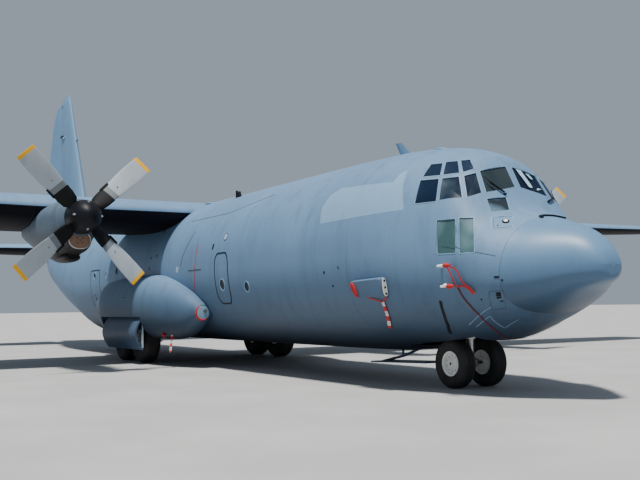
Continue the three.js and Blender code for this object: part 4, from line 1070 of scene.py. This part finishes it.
for word, y, z, plane in ENGINES:
    face = HALF_LENGTH - plane
    cowl = Form().loft([oval(face - back, y, z, *sizes) for back, *sizes in smooth_rows(NACELLE, 4)])
    for rows in (CHIN, SCOOP):
        cowl.loft([oval(face - back, y, z + rise, wide, tall, tall)
                   for back, wide, tall, rise in smooth_rows(rows, 3)])
    piece(f"cowling_{word}", cowl, COWL, hides=[f"nacelle_{word}"])
    mouth = at(plane + MOUTH["back"], y, z + MOUTH["z"])
    rings = [[lip_point(mouth, t, a) for a in circle(10)] for t in circle(64)]
    piece(f"intake_lip_{word}", Form().loft(rings + [rings[0]], caps=False), LIP)
    plug = Form().loft([oval(mouth.x + dx, y, mouth.z, 0.25 * s, 0.194 * s, 0.194 * s)
                        for dx, s in MOUTH_PLUG])
    for dy, dz in PLUG_BUTTONS:
        spot = mouth + Vector((0.01, dy, dz))
        plug.bar(spot, spot + Vector((0.022, 0, 0)), 0.016, sides=12, mark=1)
    plug.loft([oval(face - SCOOP[0][0] + dx, y, z + SCOOP[0][3], 0.14, 0.05, 0.05, 40)
               for dx in (-0.02, 0.008)], 1)
    piece(f"intake_plug_{word}", plug, [PLUG, BLACK])
    propeller = f"propeller_{word}"
    piece(f"propeller_skin_{word}", propeller_form(at(plane, y, z)), PROPELLER_PAINT, propeller,
          hides=[propeller])

# Wheel fairings
# Columns: station, half height, half width, height of the middle, its distance out
SPONSON = [
    (11.4, 0.2, 0.22, 1.42, 1.95), (11.55, 0.29, 0.28, 1.41, 1.965), (11.9, 0.5, 0.37, 1.395, 2.0),
    (12.4, 0.665, 0.48, 1.42, 2.03), (13.1, 0.79, 0.62, 1.5, 2.05), (14.0, 0.877, 0.71, 1.585, 2.05),
    (15.2, 0.9, 0.75, 1.595, 2.05), (17.4, 0.89, 0.73, 1.56, 2.05), (18.3, 0.74, 0.5, 1.61, 2.05),
    (19.1, 0.41, 0.26, 1.65, 2.05), (19.9, 0.12, 0.08, 1.7, 2.05),
]
FAIRING_SHAPE = 2.3
GEAR_DOOR = {"from": 14.0, "to": 16.95, "top": 1.309, "bottom": 0.4, "y": 2.65, "bulge": 0.2, "wall": 0.05}
INLET = {"station": 11.4, "y": 1.98, "z": 1.42, "radius": 0.18, "arc_from": -150, "arc_to": 75}
INLET_PLATE = [(0.0, 0.0), (0.18, 0.0), (0.18, 0.014), (0.16, 0.018), (0.0, 0.018)]


def fairing_point(station, side, turn):
    """A point on a wheel fairing, turning from port over the top"""
    row = next(k for k in range(len(SPONSON) - 1) if station <= SPONSON[k + 1][0])
    a, b = SPONSON[row], SPONSON[row + 1]
    share = (station - a[0]) / (b[0] - a[0])
    _, tall, wide, z, out = [mix(a[i], b[i], share) for i in range(5)]
    t = math.radians(turn)
    across, up = power(math.cos(t), 2 / FAIRING_SHAPE), power(math.sin(t), 2 / FAIRING_SHAPE)
    return at(station, side * out + wide * across, z + tall * up)


for side, word in SIDES:
    rings = [oval(HALF_LENGTH - station, side * out, z, wide, tall, tall, 64, FAIRING_SHAPE)
             for station, tall, wide, z, out in smooth_rows(SPONSON, 4)]
    well = side_box(WELL["from"], WELL["to"], side, BELOW, WELL["roof"], 1.0, WELL["outer"])
    doorway = side_box(GEAR_DOOR["from"] - 0.05, WELL["to"], side, BELOW, 1.31, 1.0, 3.2)
    piece(f"wheel_fairing_skin_{word}", Form().loft(rings), HULL, hides=[f"wheel_fairing_{word}"],
          cuts=[(CUT, well), (CUT, doorway)])
    mouth = at(INLET["station"] - 0.012, side * INLET["y"], INLET["z"])
    rings = []
    for k in range(33):
        t = math.radians(mix(INLET["arc_from"], INLET["arc_to"], k / 32))
        out = Vector((0, side * math.cos(t), math.sin(t)))
        thick = 0.03 * math.sin(math.pi * (k + 1) / 34) ** 0.5
        rings.append([
            mouth + out * (INLET["radius"] + thick * math.cos(a)) + Vector((thick * math.sin(a), 0, 0))
            for a in circle(8)
        ])
    inlet = Form().loft(rings)
    inlet.turned(INLET_PLATE, mouth, (1, 0, 0), 40, 1)
    tube = mouth + Vector((0, side * -0.06, 0.05))
    inlet.bar(tube, tube + Vector((0.05, 0, 0)), 0.05, 0.04, 24, 2)
    piece(f"fairing_inlet_{word}", inlet, [RED, PANEL, LINER])


# Wheels
def tyre_profile(radius, width, rim):
    tall = radius - rim
    edge = (
        (0, -0.36), (0.06, -0.4), (0.25, -0.475), (0.45, -0.5),
        (0.65, -0.485), (0.82, -0.44), (0.94, -0.36), (1, -0.27),
    )
    shoulder = [(rim + tall * up, w * width) for up, w in edge]
    tread = []
    for groove in (-0.18, -0.06, 0.06, 0.18):
        for step, depth in ((-0.016, 0.0), (-0.012, 0.012), (0.012, 0.012), (0.016, 0.0)):
            tread.append((radius - depth, (groove + step) * width))
    return shoulder + tread + [(r, -w) for r, w in shoulder[::-1]]


def rim_profile(radius, width, bore):
    face = [
        (bore, 0.36), (bore + 0.05, 0.36), (bore + 0.06, 0.3), (radius * 0.55, 0.24), (radius * 0.76, 0.2),
        (radius * 0.82, 0.36), (radius * 0.95, 0.4), (radius, 0.4),
    ]
    return [(r, -w * width) for r, w in face] + [(r, w * width) for r, w in face[::-1]]


def rim_holes(centre, ring, radius, count, width):
    holes = Form()
    reach = Vector((0, width, 0))
    for t in circle(count, math.pi / count):
        middle = centre + Vector((ring * math.cos(t), 0, ring * math.sin(t)))
        holes.bar(middle - reach, middle + reach, radius, sides=14)
    return holes


ACROSS = (0, 1, 0)
MAIN = {"track": 2.18, "radius": 0.67, "width": 0.5, "rim": 0.285}
MAIN_STATIONS = {"front": 14.97, "rear": 16.51}
for side, word in SIDES:
    for name, station in MAIN_STATIONS.items():
        hub = at(station, side * MAIN["track"], MAIN["radius"])
        body = f"main_wheel_{name}_{word}"
        tyre = Form().turned(tyre_profile(MAIN["radius"], MAIN["width"], MAIN["rim"]), hub, ACROSS, 96)
        piece(f"main_tyre_skin_{name}_{word}", tyre, RUBBER, body, [f"main_tyre_{name}_{word}"])
        rim = Form().turned(rim_profile(MAIN["rim"] - 0.001, MAIN["width"], 0.062), hub, ACROSS, 64)
        piece(f"main_rim_skin_{name}_{word}", rim, WHITE, body, [f"main_rim_{name}_{word}"],
              cuts=[(CUT, rim_holes(hub, 0.185, 0.024, 9, 0.4))])

NOSE = {"station": 3.42, "half": 0.38, "radius": 0.455, "width": 0.31, "rim": 0.232}
nose_rims = Form()
nose_holes = Form()
nose_hub = at(NOSE["station"], 0, NOSE["radius"])
axle = Form().bar(nose_hub - Vector((0, 0.47, 0)), nose_hub + Vector((0, 0.47, 0)), 0.03)
for side, word in SIDES:
    hub = nose_hub + Vector((0, side * NOSE["half"], 0))
    tyre = Form().turned(tyre_profile(NOSE["radius"], NOSE["width"], NOSE["rim"]), hub, ACROSS, 96)
    piece(f"nose_tyre_skin_{word}", tyre, RUBBER, "nose_wheels", [f"nose_tyre_{word}"])
    nose_rims.turned(rim_profile(NOSE["rim"] - 0.001, NOSE["width"], 0.03), hub, ACROSS, 64)
    nose_holes.join(rim_holes(hub, 0.145, 0.019, 10, 0.3))
    end = nose_hub + Vector((0, side * 0.44, 0))
    axle.bar(end, end + Vector((0, side * 0.05, 0)), 0.062, 0.05, 20)
piece("nose_rim_skin", nose_rims, WHITE, "nose_wheels", ["nose_rims"], cuts=[(CUT, nose_holes)])
piece("nose_axle", axle, DARK_STEEL, "nose_wheels")

# Solids of the shared frame that stay in sight
finish_node("cargo_floor", DARK_STEEL)
finish_node("flight_deck", INNER)
finish_node("nose_gear_door", DOOR)
for name in ("main_gear_left", "main_gear_right", "nose_leg", "nose_steering"):
    finish_node(name, STEEL)

# Main gear doors, which hang outboard of the wheels, with an upright frame at each end
for side, word in SIDES:
    rings = []
    for k in range(29):
        z = mix(GEAR_DOOR["top"], GEAR_DOOR["bottom"], k / 28)
        y = GEAR_DOOR["y"] + GEAR_DOOR["bulge"] * math.sin(math.pi * k / 28)
        start, end, inside = GEAR_DOOR["from"], GEAR_DOOR["to"], y - GEAR_DOOR["wall"]
        corners = ((start, y), (end, y), (end, inside), (start, inside))
        rings.append([at(s, side * reach, z) for s, reach in corners])
    door = Form().loft(rings)
    for station in (14.03, 15.45, 16.9):
        x = HALF_LENGTH - station
        door.box(x - 0.018, x + 0.018, *sorted((side * 2.602, side * 2.645)), 0.46, 1.28, 1)
    piece(f"main_gear_door_skin_{word}", door, [DOOR, PALE], hides=[f"main_gear_door_{word}"])


# Marks and lines on the skin
def on_skin(corners, lift=0.002, steps=10):
    """Places and normals along a run of (station, ring angle) corners"""
    run = steps_between(corners, steps)
    return lifted_all(run, lift), normals_of(run)


def path(corners, side, steps=12):
    """Places and normals along a run of (station, height) corners"""
    run = [(s, side_angle(s, z, side)) for s, z in steps_between(corners, steps)]
    return lifted_all(run, 0.001), normals_of(run)


def door_outline(form, s0, s1, z0, z1, radius, side, width):
    """A band round a door with rounded corners"""
    corners = [(mix(s0, s1, u), mix(z0, z1, v)) for u, v in rounded(radius, 6)]
    places, normals = path(corners + [corners[0]], side, 6)
    return form.strip(places[:-1], normals[:-1], width, 0.004, closed=True)


def disc(form, station, angle, radius, thick, mark=0):
    """A round boss that stands on the skin"""
    return form.bar(lifted(station, angle, -0.02), lifted(station, angle, thick), radius, sides=28, mark=mark)


def slab(form, corners, low, high, shrink, radius):
    """A raised block on the skin between four (station, ring angle) corners"""
    outline = outline_on_body(corners, radius)
    crest = lifted_all(outline, high)
    middle = sum(crest, Vector()) / len(outline)
    top = [middle + (p - middle) * shrink for p in crest]
    return form.loft([lifted_all(outline, low), lifted_all(outline, mix(low, high, 0.8)), top])


# Door seals, the propellers' warning line and the joint lines
seals = Form()
warning = Form()
joints = Form()
# Fine joint lines: corners of station and ring angle, and the width
for run, width in (
    ([(12.249, 152.8), (12.382, 160.3), (12.633, 171.6), (12.75, 179.1)], 0.02),
    ([(13.037, 141.0), (10.59, 141.0), (8.65, 131.0)], 0.012),
    ([(1.466, 200.4), (1.25, 197.5), (1.29, 212.0), (1.415, 226.9), (1.612, 224.8), (1.53, 212.0),
      (1.466, 200.4)], 0.008),
    ([(2.3, 170.5), (1.9, 168.5), (1.34, 163.0)], 0.006),
    ([(2.1, 236.0), (1.74, 243.5), (1.5, 252.0)], 0.008),
):
    joints.strip(*on_skin(run), width, 0.002)
for side in (-1, 1):
    door_outline(seals, 9.8, 10.56, 1.64, 2.87, 0.25, side, 0.034)
    door_outline(seals, 19.96, 20.98, 1.02, 2.87, 0.08, side, 0.026)
    plane = [(11.711, 3.183), (11.77, 2.652), (11.877, 2.138), (11.934, 1.749), (11.82, 1.59)]
    warning.strip(*path(plane, side), 0.032, 0.003)
    joints.strip(*path([(11.385, 2.52), (12.24, 2.52)], side), 0.03, 0.003)
piece("door_seals", seals, BLACK)
piece("propeller_warning_line", warning, RED)
piece("joint_lines", joints, LINE_GREY)
sealed = Form()
for run in (
    [(2.245, 232.2), (1.594, 220.3)],
    [(2.18, 236.8), (1.762, 231.0), (1.901, 253.1), (1.541, 250.5)],
):
    sealed.strip(*on_skin(run), 0.01, 0.002)
piece("sealed_joints", sealed, PANEL)

# Drains and vents: two ends of station and angle, and the width
DARK_MARKS = (
    ((1.34, 181.8), (1.27, 180.8), 0.03), ((1.372, 202.4), (1.3, 202.0), 0.035),
    ((1.385, 205.6), (1.315, 205.2), 0.035), ((1.4, 209.1), (1.33, 208.6), 0.03),
    ((1.39, 215.0), (1.34, 214.8), 0.02), ((1.66, 209.1), (1.64, 209.6), 0.03),
    ((1.22, 183.0), (1.24, 184.4), 0.03), ((10.741, 169.8), (10.7, 166.2), 0.07),
    ((14.861, 146.8), (14.84, 144.6), 0.09), ((14.646, 169.4), (14.64, 167.2), 0.07),
    ((15.143, 179.4), (15.14, 177.0), 0.07), ((15.09, 170.6), (15.08, 168.4), 0.06),
    ((20.585, 195.2), (20.58, 193.6), 0.08), ((20.56, 198.6), (20.55, 196.6), 0.1),
    ((4.9, 186.0), (4.88, 186.8), 0.03),
)
dark = Form()
for *run, width in DARK_MARKS:
    dark.strip(*on_skin(run, steps=3), width, 0.003)
disc(dark, 5.41, side_angle(5.41, 2.208), 0.028, 0.004)
disc(dark, 5.161, side_angle(5.161, 1.936), 0.024, 0.004)
piece("drain_and_vent_marks", dark, BLACK)
rub = [(2.464, 206.0), (2.532, 217.2), (2.636, 228.5), (2.8, 239.0)]
piece("rub_strip", Form().strip(*on_skin(rub), 0.05, 0.008), BLACK)

# A slot over the nose that narrows towards port
brow = [(1.2, 104.0), (1.277, 101.8), (1.3, 95.0), (1.29, 87.4), (1.24, 83.0), (1.155, 79.0)]
places, normals = on_skin(brow, 0.012, 8)
last = len(places) - 1
rings = []
for k, (p, n) in enumerate(zip(places, normals)):
    along = (places[min(k + 1, last)] - places[max(k - 1, 0)]).normalized()
    across = along.cross(n) * (0.03 - 0.026 * k / len(places))
    low, high = -n * 0.03, n * 0.02
    rings.append([p - across + low, p + across + low, p + across * 0.8 + high, p - across * 0.8 + high])
piece("brow_slot", Form().loft(rings), BLACK)

# A paler repainted patch on the shoulder, between a lower and an upper edge of (station, height)
LOW_EDGE = [(3.13, 3.228), (5.633, 3.189), (5.761, 3.53)]
HIGH_EDGE = [
    (3.13, 3.24), (3.488, 4.021), (3.613, 3.978), (3.662, 3.807),
    (5.388, 3.907), (5.678, 3.773), (5.761, 3.54),
]


def edge_at(edge, station):
    for (s0, z0), (s1, z1) in zip(edge[:-1], edge[1:]):
        if station <= s1:
            return mix(z0, z1, (station - s0) / (s1 - s0))
    return edge[-1][1]


rings = []
for k in range(61):
    s = mix(3.14, 5.75, k / 60)
    low, high = (side_angle(s, edge_at(edge, s)) for edge in (LOW_EDGE, HIGH_EDGE))
    row = [(s, mix(low, high, j / 12)) for j in range(13)]
    rings.append(lifted_all(row, 0.0015) + lifted_all(row[::-1], -0.004))
piece("repainted_patch", Form().loft(rings), PATCH)
ports = Form()
for station, z, size in ((13.0, 2.58, 0.085), (17.11, 2.715, 0.07)):
    disc(ports, station, side_angle(station, z), size, 0.004)
disc(ports, 10.085, 162.0, 0.1, 0.004, 1)
disc(ports, 10.085, 162.0, 0.075, 0.006)
piece("pale_port_covers", ports, [PALE, LINE_GREY])

# Lamp panel below the windshield
lamp = Form()
for corners, radius, width, mark in (
    (((1.79, 124.2), (1.585, 111.9), (1.335, 130.0), (1.6, 137.6)), 0.12, 0.016, 0),
    (((1.747, 124.4), (1.615, 113.4), (1.37, 129.4), (1.575, 136.0)), 0.04, 0.009, 3),
):
    outline = outline_on_body(corners, radius)
    lamp.strip(lifted_all(outline, 0.001), normals_of(outline), width, 0.003, closed=True, mark=mark)
disc(lamp, 1.534, 123.5, 0.062, 0.012, 1)
disc(lamp, 1.534, 123.5, 0.036, 0.02, 2)
disc(lamp, 1.56, 131.5, 0.012, 0.006, 1)
piece("taxi_lamp_panel", lamp, [PANEL, BLACK, WHITE, LINE_GREY])

# Wipers: an arm and a thinner blade in front of each windshield
wipers = Form()
for run in ([(1.985, 103.6), (2.12, 111.4), (2.205, 114.2)], [(1.97, 66.0), (2.07, 57.0), (2.22, 53.0)]):
    post, elbow, end = lifted_all(run, 0.035)
    wipers.bar(lifted(*run[0], -0.02), post + (post - elbow) * 0.12, 0.018)
    wipers.bar(post, elbow, 0.018, 0.02, 10)
    wipers.bar(elbow, end, 0.008, 0.006, 8)
piece("wipers", wipers, BLACK)

# Air scoop on the cheek, with its plate, cover and streamer
PLATE_ENDS = ((3.452, 190.6), (3.488, 201.6))
PLATE_LIFT = 0.058
PLATE_STEPS = 20
scoop = slab(Form(), ((4.4, 192.9), (3.47, 190.2), (3.51, 202.0), (4.38, 201.8)), -0.04, 0.12, 0.9, 0.1)


def on_plate(share):
    return [mix(a, b, share) for a, b in zip(*PLATE_ENDS)]


rings = []
for k in range(PLATE_STEPS + 1):
    tall = 0.052 * math.sin(math.pi * k / PLATE_STEPS) ** 0.35 if 0 < k < PLATE_STEPS else 0.012
    high, low = (lifted(*on_plate(k / PLATE_STEPS), PLATE_LIFT + way * tall) for way in (1, -1))
    ahead = Vector((0.014, 0, 0))
    rings.append([high + ahead, low + ahead, low, high])
scoop.loft(rings, 1)
for share in (0.14, 0.5, 0.86):
    spot = lifted(*on_plate(share), PLATE_LIFT)
    scoop.bar(spot, spot + Vector((0.024, 0, 0)), 0.02, sides=14, mark=2)
piece("cheek_scoop", scoop, [HULL, WHITE, BLACK])
cover = slab(Form(), ((4.4, 193.6), (4.26, 193.4), (4.2, 201.4), (4.28, 201.6)), 0.1, 0.15, 0.8, 0.4)
piece("scoop_cover", cover, RED_CLOTH)


def ribbon(name, places, normals, width, material, rests_on="nose_skin"):
    """A webbing strip at its own width, along the given places"""
    strap = piece(name, Form().strip(places, normals, width, 0.002), material)


def draped(name, width, material, lift, *run):
    """A ribbon over the nose along places of (station, ring angle)"""
    ribbon(name, *on_skin(run, lift, 6), width, material)


draped("scoop_cover_strap", 0.024, RED_CLOTH, 0.03, (4.1, 202.6), (3.9, 204.2), (3.7, 206.0))
draped("scoop_plate_strap", 0.024, RED_CLOTH, 0.03, (3.5, 202.6), (3.6, 204.4), (3.69, 206.0))
draped("scoop_streamer", 0.075, STREAMER, 0.02,
       (3.69, 205.6), (3.713, 211.0), (3.76, 215.8), (3.86, 221.5), (4.0, 227.4))

# Pitot heads, each with a cover drawn over its end
# Columns of the cover: start and end ahead of the head, start and end radius
PITOT_COVER = ((0.12, 0.16, 0.02, 0.042), (0.16, 0.22, 0.042, 0.038), (0.22, 0.3, 0.038, 0.016))
pitots = Form()
covers = Form()
for station, z in ((2.283, 2.198), (2.255, 1.876)):
    for side in (-1, 1):
        angle = side_angle(station, z, side)
        head = lifted(station, angle, 0.12) + Vector((0.03, 0, 0))
        pitots.bar(lifted(station, angle, -0.02), head, 0.03, 0.022, 14)
        pitots.bar(head - Vector((0.03, 0, 0)), head + Vector((0.2, 0, 0)), 0.02, 0.014, 14)
        for start, end, radius, end_radius in PITOT_COVER:
            covers.bar(head + Vector((start, 0, 0)), head + Vector((end, 0, 0)), radius, end_radius, 16)
piece("pitot_heads", pitots, WHITE)
piece("pitot_covers", covers, RED_CLOTH)
draped("pitot_strap_upper", 0.026, RED_CLOTH, 0.06,
       (2.12, 182.4), (2.06, 186.0), (2.02, 190.5), (1.99, 194.4))
draped("pitot_loop_upper", 0.026, RED_CLOTH, 0.05,
       (2.09, 182.2), (2.0, 181.8), (1.928, 183.6), (1.866, 189.7), (1.8, 193.4), (1.76, 196.0))
draped("pitot_loop_lower", 0.03, RED_CLOTH, 0.05,
       (1.985, 194.9), (1.9, 194.0), (1.826, 193.9), (1.77, 196.2))
draped("pitot_flag", 0.06, RED_CLOTH, 0.04, (1.775, 194.8), (1.733, 197.6), (1.7, 201.2))
draped("belly_strap", 0.026, DARK_CLOTH, 0.012,
       (1.994, 196.0), (1.952, 205.3), (1.911, 212.9), (1.886, 226.0), (1.955, 241.0), (2.048, 251.6),
       (2.2, 262.0), (2.34, 272.0), (2.36, 281.0), (2.24, 288.0), (2.1, 300.0), (2.0, 315.0),
       (1.98, 330.0), (2.0, 343.0))

# Aerials on the roof: a blade, two low domes and a dark pair
BLADE_ROOT = ((4.85, 0.0), (4.79, 0.016), (4.64, 0.016), (4.5, 0.0), (4.64, -0.016), (4.79, -0.016))
BLADE_ANGLE = 103.7
aerials = Form()
middle = on_body(4.7, BLADE_ANGLE)
foot = [on_body(s, BLADE_ANGLE, 0.02) + Vector((0, w, 0)) for s, w in BLADE_ROOT]
tip = [at(5.0 + (s - 4.85) * 0.55, middle.y + w * 0.6, middle.z + 0.25) for s, w in BLADE_ROOT]
aerials.loft([foot, tip])
for station, angle, length, tall in ((3.6, 101.5, 0.36, 0.03), (13.74, 110.7, 0.5, 0.035)):
    rings = []
    for k in range(13):
        t = math.pi * k / 12
        s = station + length / 2 * math.cos(t)
        size = max(0.02, math.sin(t))
        across = Vector((0, 0.1 * size, 0))
        rise = body_normal(s, angle) * ((tall + 0.02) * size)
        middle = lifted(s, angle, -0.02)
        rings.append([middle + across * math.cos(a) + rise * math.sin(a) for a in circle(16)])
    aerials.loft(rings)
piece("roof_aerials", aerials, TAIL)
dark_aerials = Form()
foot = on_body(11.45, 116.6, 0.02)
for shift, tall in ((-0.1, 0.2), (0.06, 0.16)):
    dark_aerials.bar(foot + Vector((shift, 0, 0)), foot + Vector((shift - 0.04, 0, tall)), 0.05, 0.03, 12)
piece("dark_roof_aerial", dark_aerials, BLACK)

# Fin details: a lamp, a static wick and a probe, by station, width and height
fin_marks = Form()
for start, end, y0, y1, low, high, mark in (
    (31.75, 32.1, -0.23, -0.15, 9.62, 9.7, 0),
    (31.4, 31.75, -0.225, -0.15, 9.55, 9.6, 1),
    (29.95, 30.35, -0.015, 0.015, 9.19, 9.22, 0),
):
    fin_marks.box(HALF_LENGTH - end, HALF_LENGTH - start, y0, y1, low, high, mark)
piece("fin_marks", fin_marks, [BLACK, PALE])

# Glints of the far windows seen through the middle windshield
glints = Form()
for corners in (
    ((2.28, 84.6), (2.3, 80.6), (2.08, 75.6), (2.07, 79.4)),
    ((2.24, 76.4), (2.25, 73.0), (2.2, 70.6), (2.19, 73.6)),
    ((2.1, 70.6), (2.12, 65.2), (2.13, 64.4), (2.065, 72.6)),
):
    slab(glints, corners, -0.014, -0.0095, 1.0, 0.15)
piece("far_window_glints", glints, SKY_GLINT)

# Fairing details: joint lines of station and turn, a drain cover and its streamer
FAIRING_RUNS = (
    [(12.3, 203.0), (13.9, 200.0)], [(13.6, 150.0), (13.6, 200.0), (13.6, 236.0)],
    [(12.9, 150.0), (12.9, 200.0), (12.9, 232.0)], [(17.0, 140.0), (17.0, 197.0)],
    [(14.2, 166.0), (17.0, 165.0)],
)
fairing_lines = Form()
for run in FAIRING_RUNS:
    places = []
    normals = []
    for s, a in steps_between(run, 12):
        around = fairing_point(s, -1, a + 0.5) - fairing_point(s, -1, a - 0.5)
        along = fairing_point(s + 0.01, -1, a) - fairing_point(s - 0.01, -1, a)
        places.append(fairing_point(s, -1, a))
        normals.append(along.cross(around).normalized())
    fairing_lines.strip(places, normals, 0.018, 0.004)
piece("fairing_lines", fairing_lines, LINE_GREY)
foot = fairing_point(12.95, -1, 232.0)
drain = Form().bar(foot + Vector((0, 0, 0.02)), foot + Vector((0.14, -0.03, -0.06)), 0.055, 0.03, 16)
piece("fairing_drain_cover", drain, RED_CLOTH)
hang = [fairing_point(12.55, -1, 236.0) + Vector((0.03, -0.02, -0.075)) * k for k in range(7)]
facing = Vector((0.5, -0.86, 0)).normalized()
ribbon("fairing_streamer", hang, [facing] * len(hang), 0.07, STREAMER, "wheel_fairing_skin_right")

# Floor, light and camera
FLOOR = paint("floor_matt", (0.4, 0.4, 0.4), 0.8, 0.05, 0.0)
linked("floor", mesh_from("floor", Form().box(-400, 400, -400, 400, -0.2, 0.0), [FLOOR]))
world = bpy.data.worlds.new("studio")
bpy.context.scene.world = world
world.use_nodes = True
world.node_tree.nodes["Background"].inputs["Color"].default_value = (0.72, 0.84, 1.0, 1)
world.node_tree.nodes["Background"].inputs["Strength"].default_value = 0.42

light = bpy.data.lights.new("high_light", "SUN")
light.energy = 6.0
light.angle = math.radians(6)
light.color = (1, 0.97, 0.92)
sun = linked("high_light", light)
sun.rotation_mode = "QUATERNION"
sun.rotation_quaternion = Vector((-0.18, 0.2, -0.95)).to_track_quat("-Z", "Y")

CAMERA = {"station": -9.3132, "y": -10.9743, "z": 1.552, "yaw": 31.1619, "pitch": 4.3056, "roll": -0.7549}
SENSOR = 36
FOCAL_SHARE = 875.79 / 640
yaw, pitch, roll = (math.radians(CAMERA[k]) for k in ("yaw", "pitch", "roll"))
ahead = Vector((-math.cos(yaw) * math.cos(pitch), math.sin(yaw) * math.cos(pitch), math.sin(pitch)))
right = Vector((math.sin(yaw), math.cos(yaw), 0))
up = right.cross(ahead)
level_right = right * math.cos(roll) + up * math.sin(roll)
level_up = -right * math.sin(roll) + up * math.cos(roll)
place = Matrix((level_right, level_up, -ahead)).transposed().to_4x4()
place.translation = at(CAMERA["station"], CAMERA["y"], CAMERA["z"]) * SCALE
camera = linked("camera", bpy.data.cameras.new("camera"))
camera.matrix_world = place
camera.data.sensor_width = SENSOR
camera.data.sensor_fit = "HORIZONTAL"
camera.data.lens = SENSOR * FOCAL_SHARE
camera.data.clip_end = 1000
bpy.context.scene.camera = camera
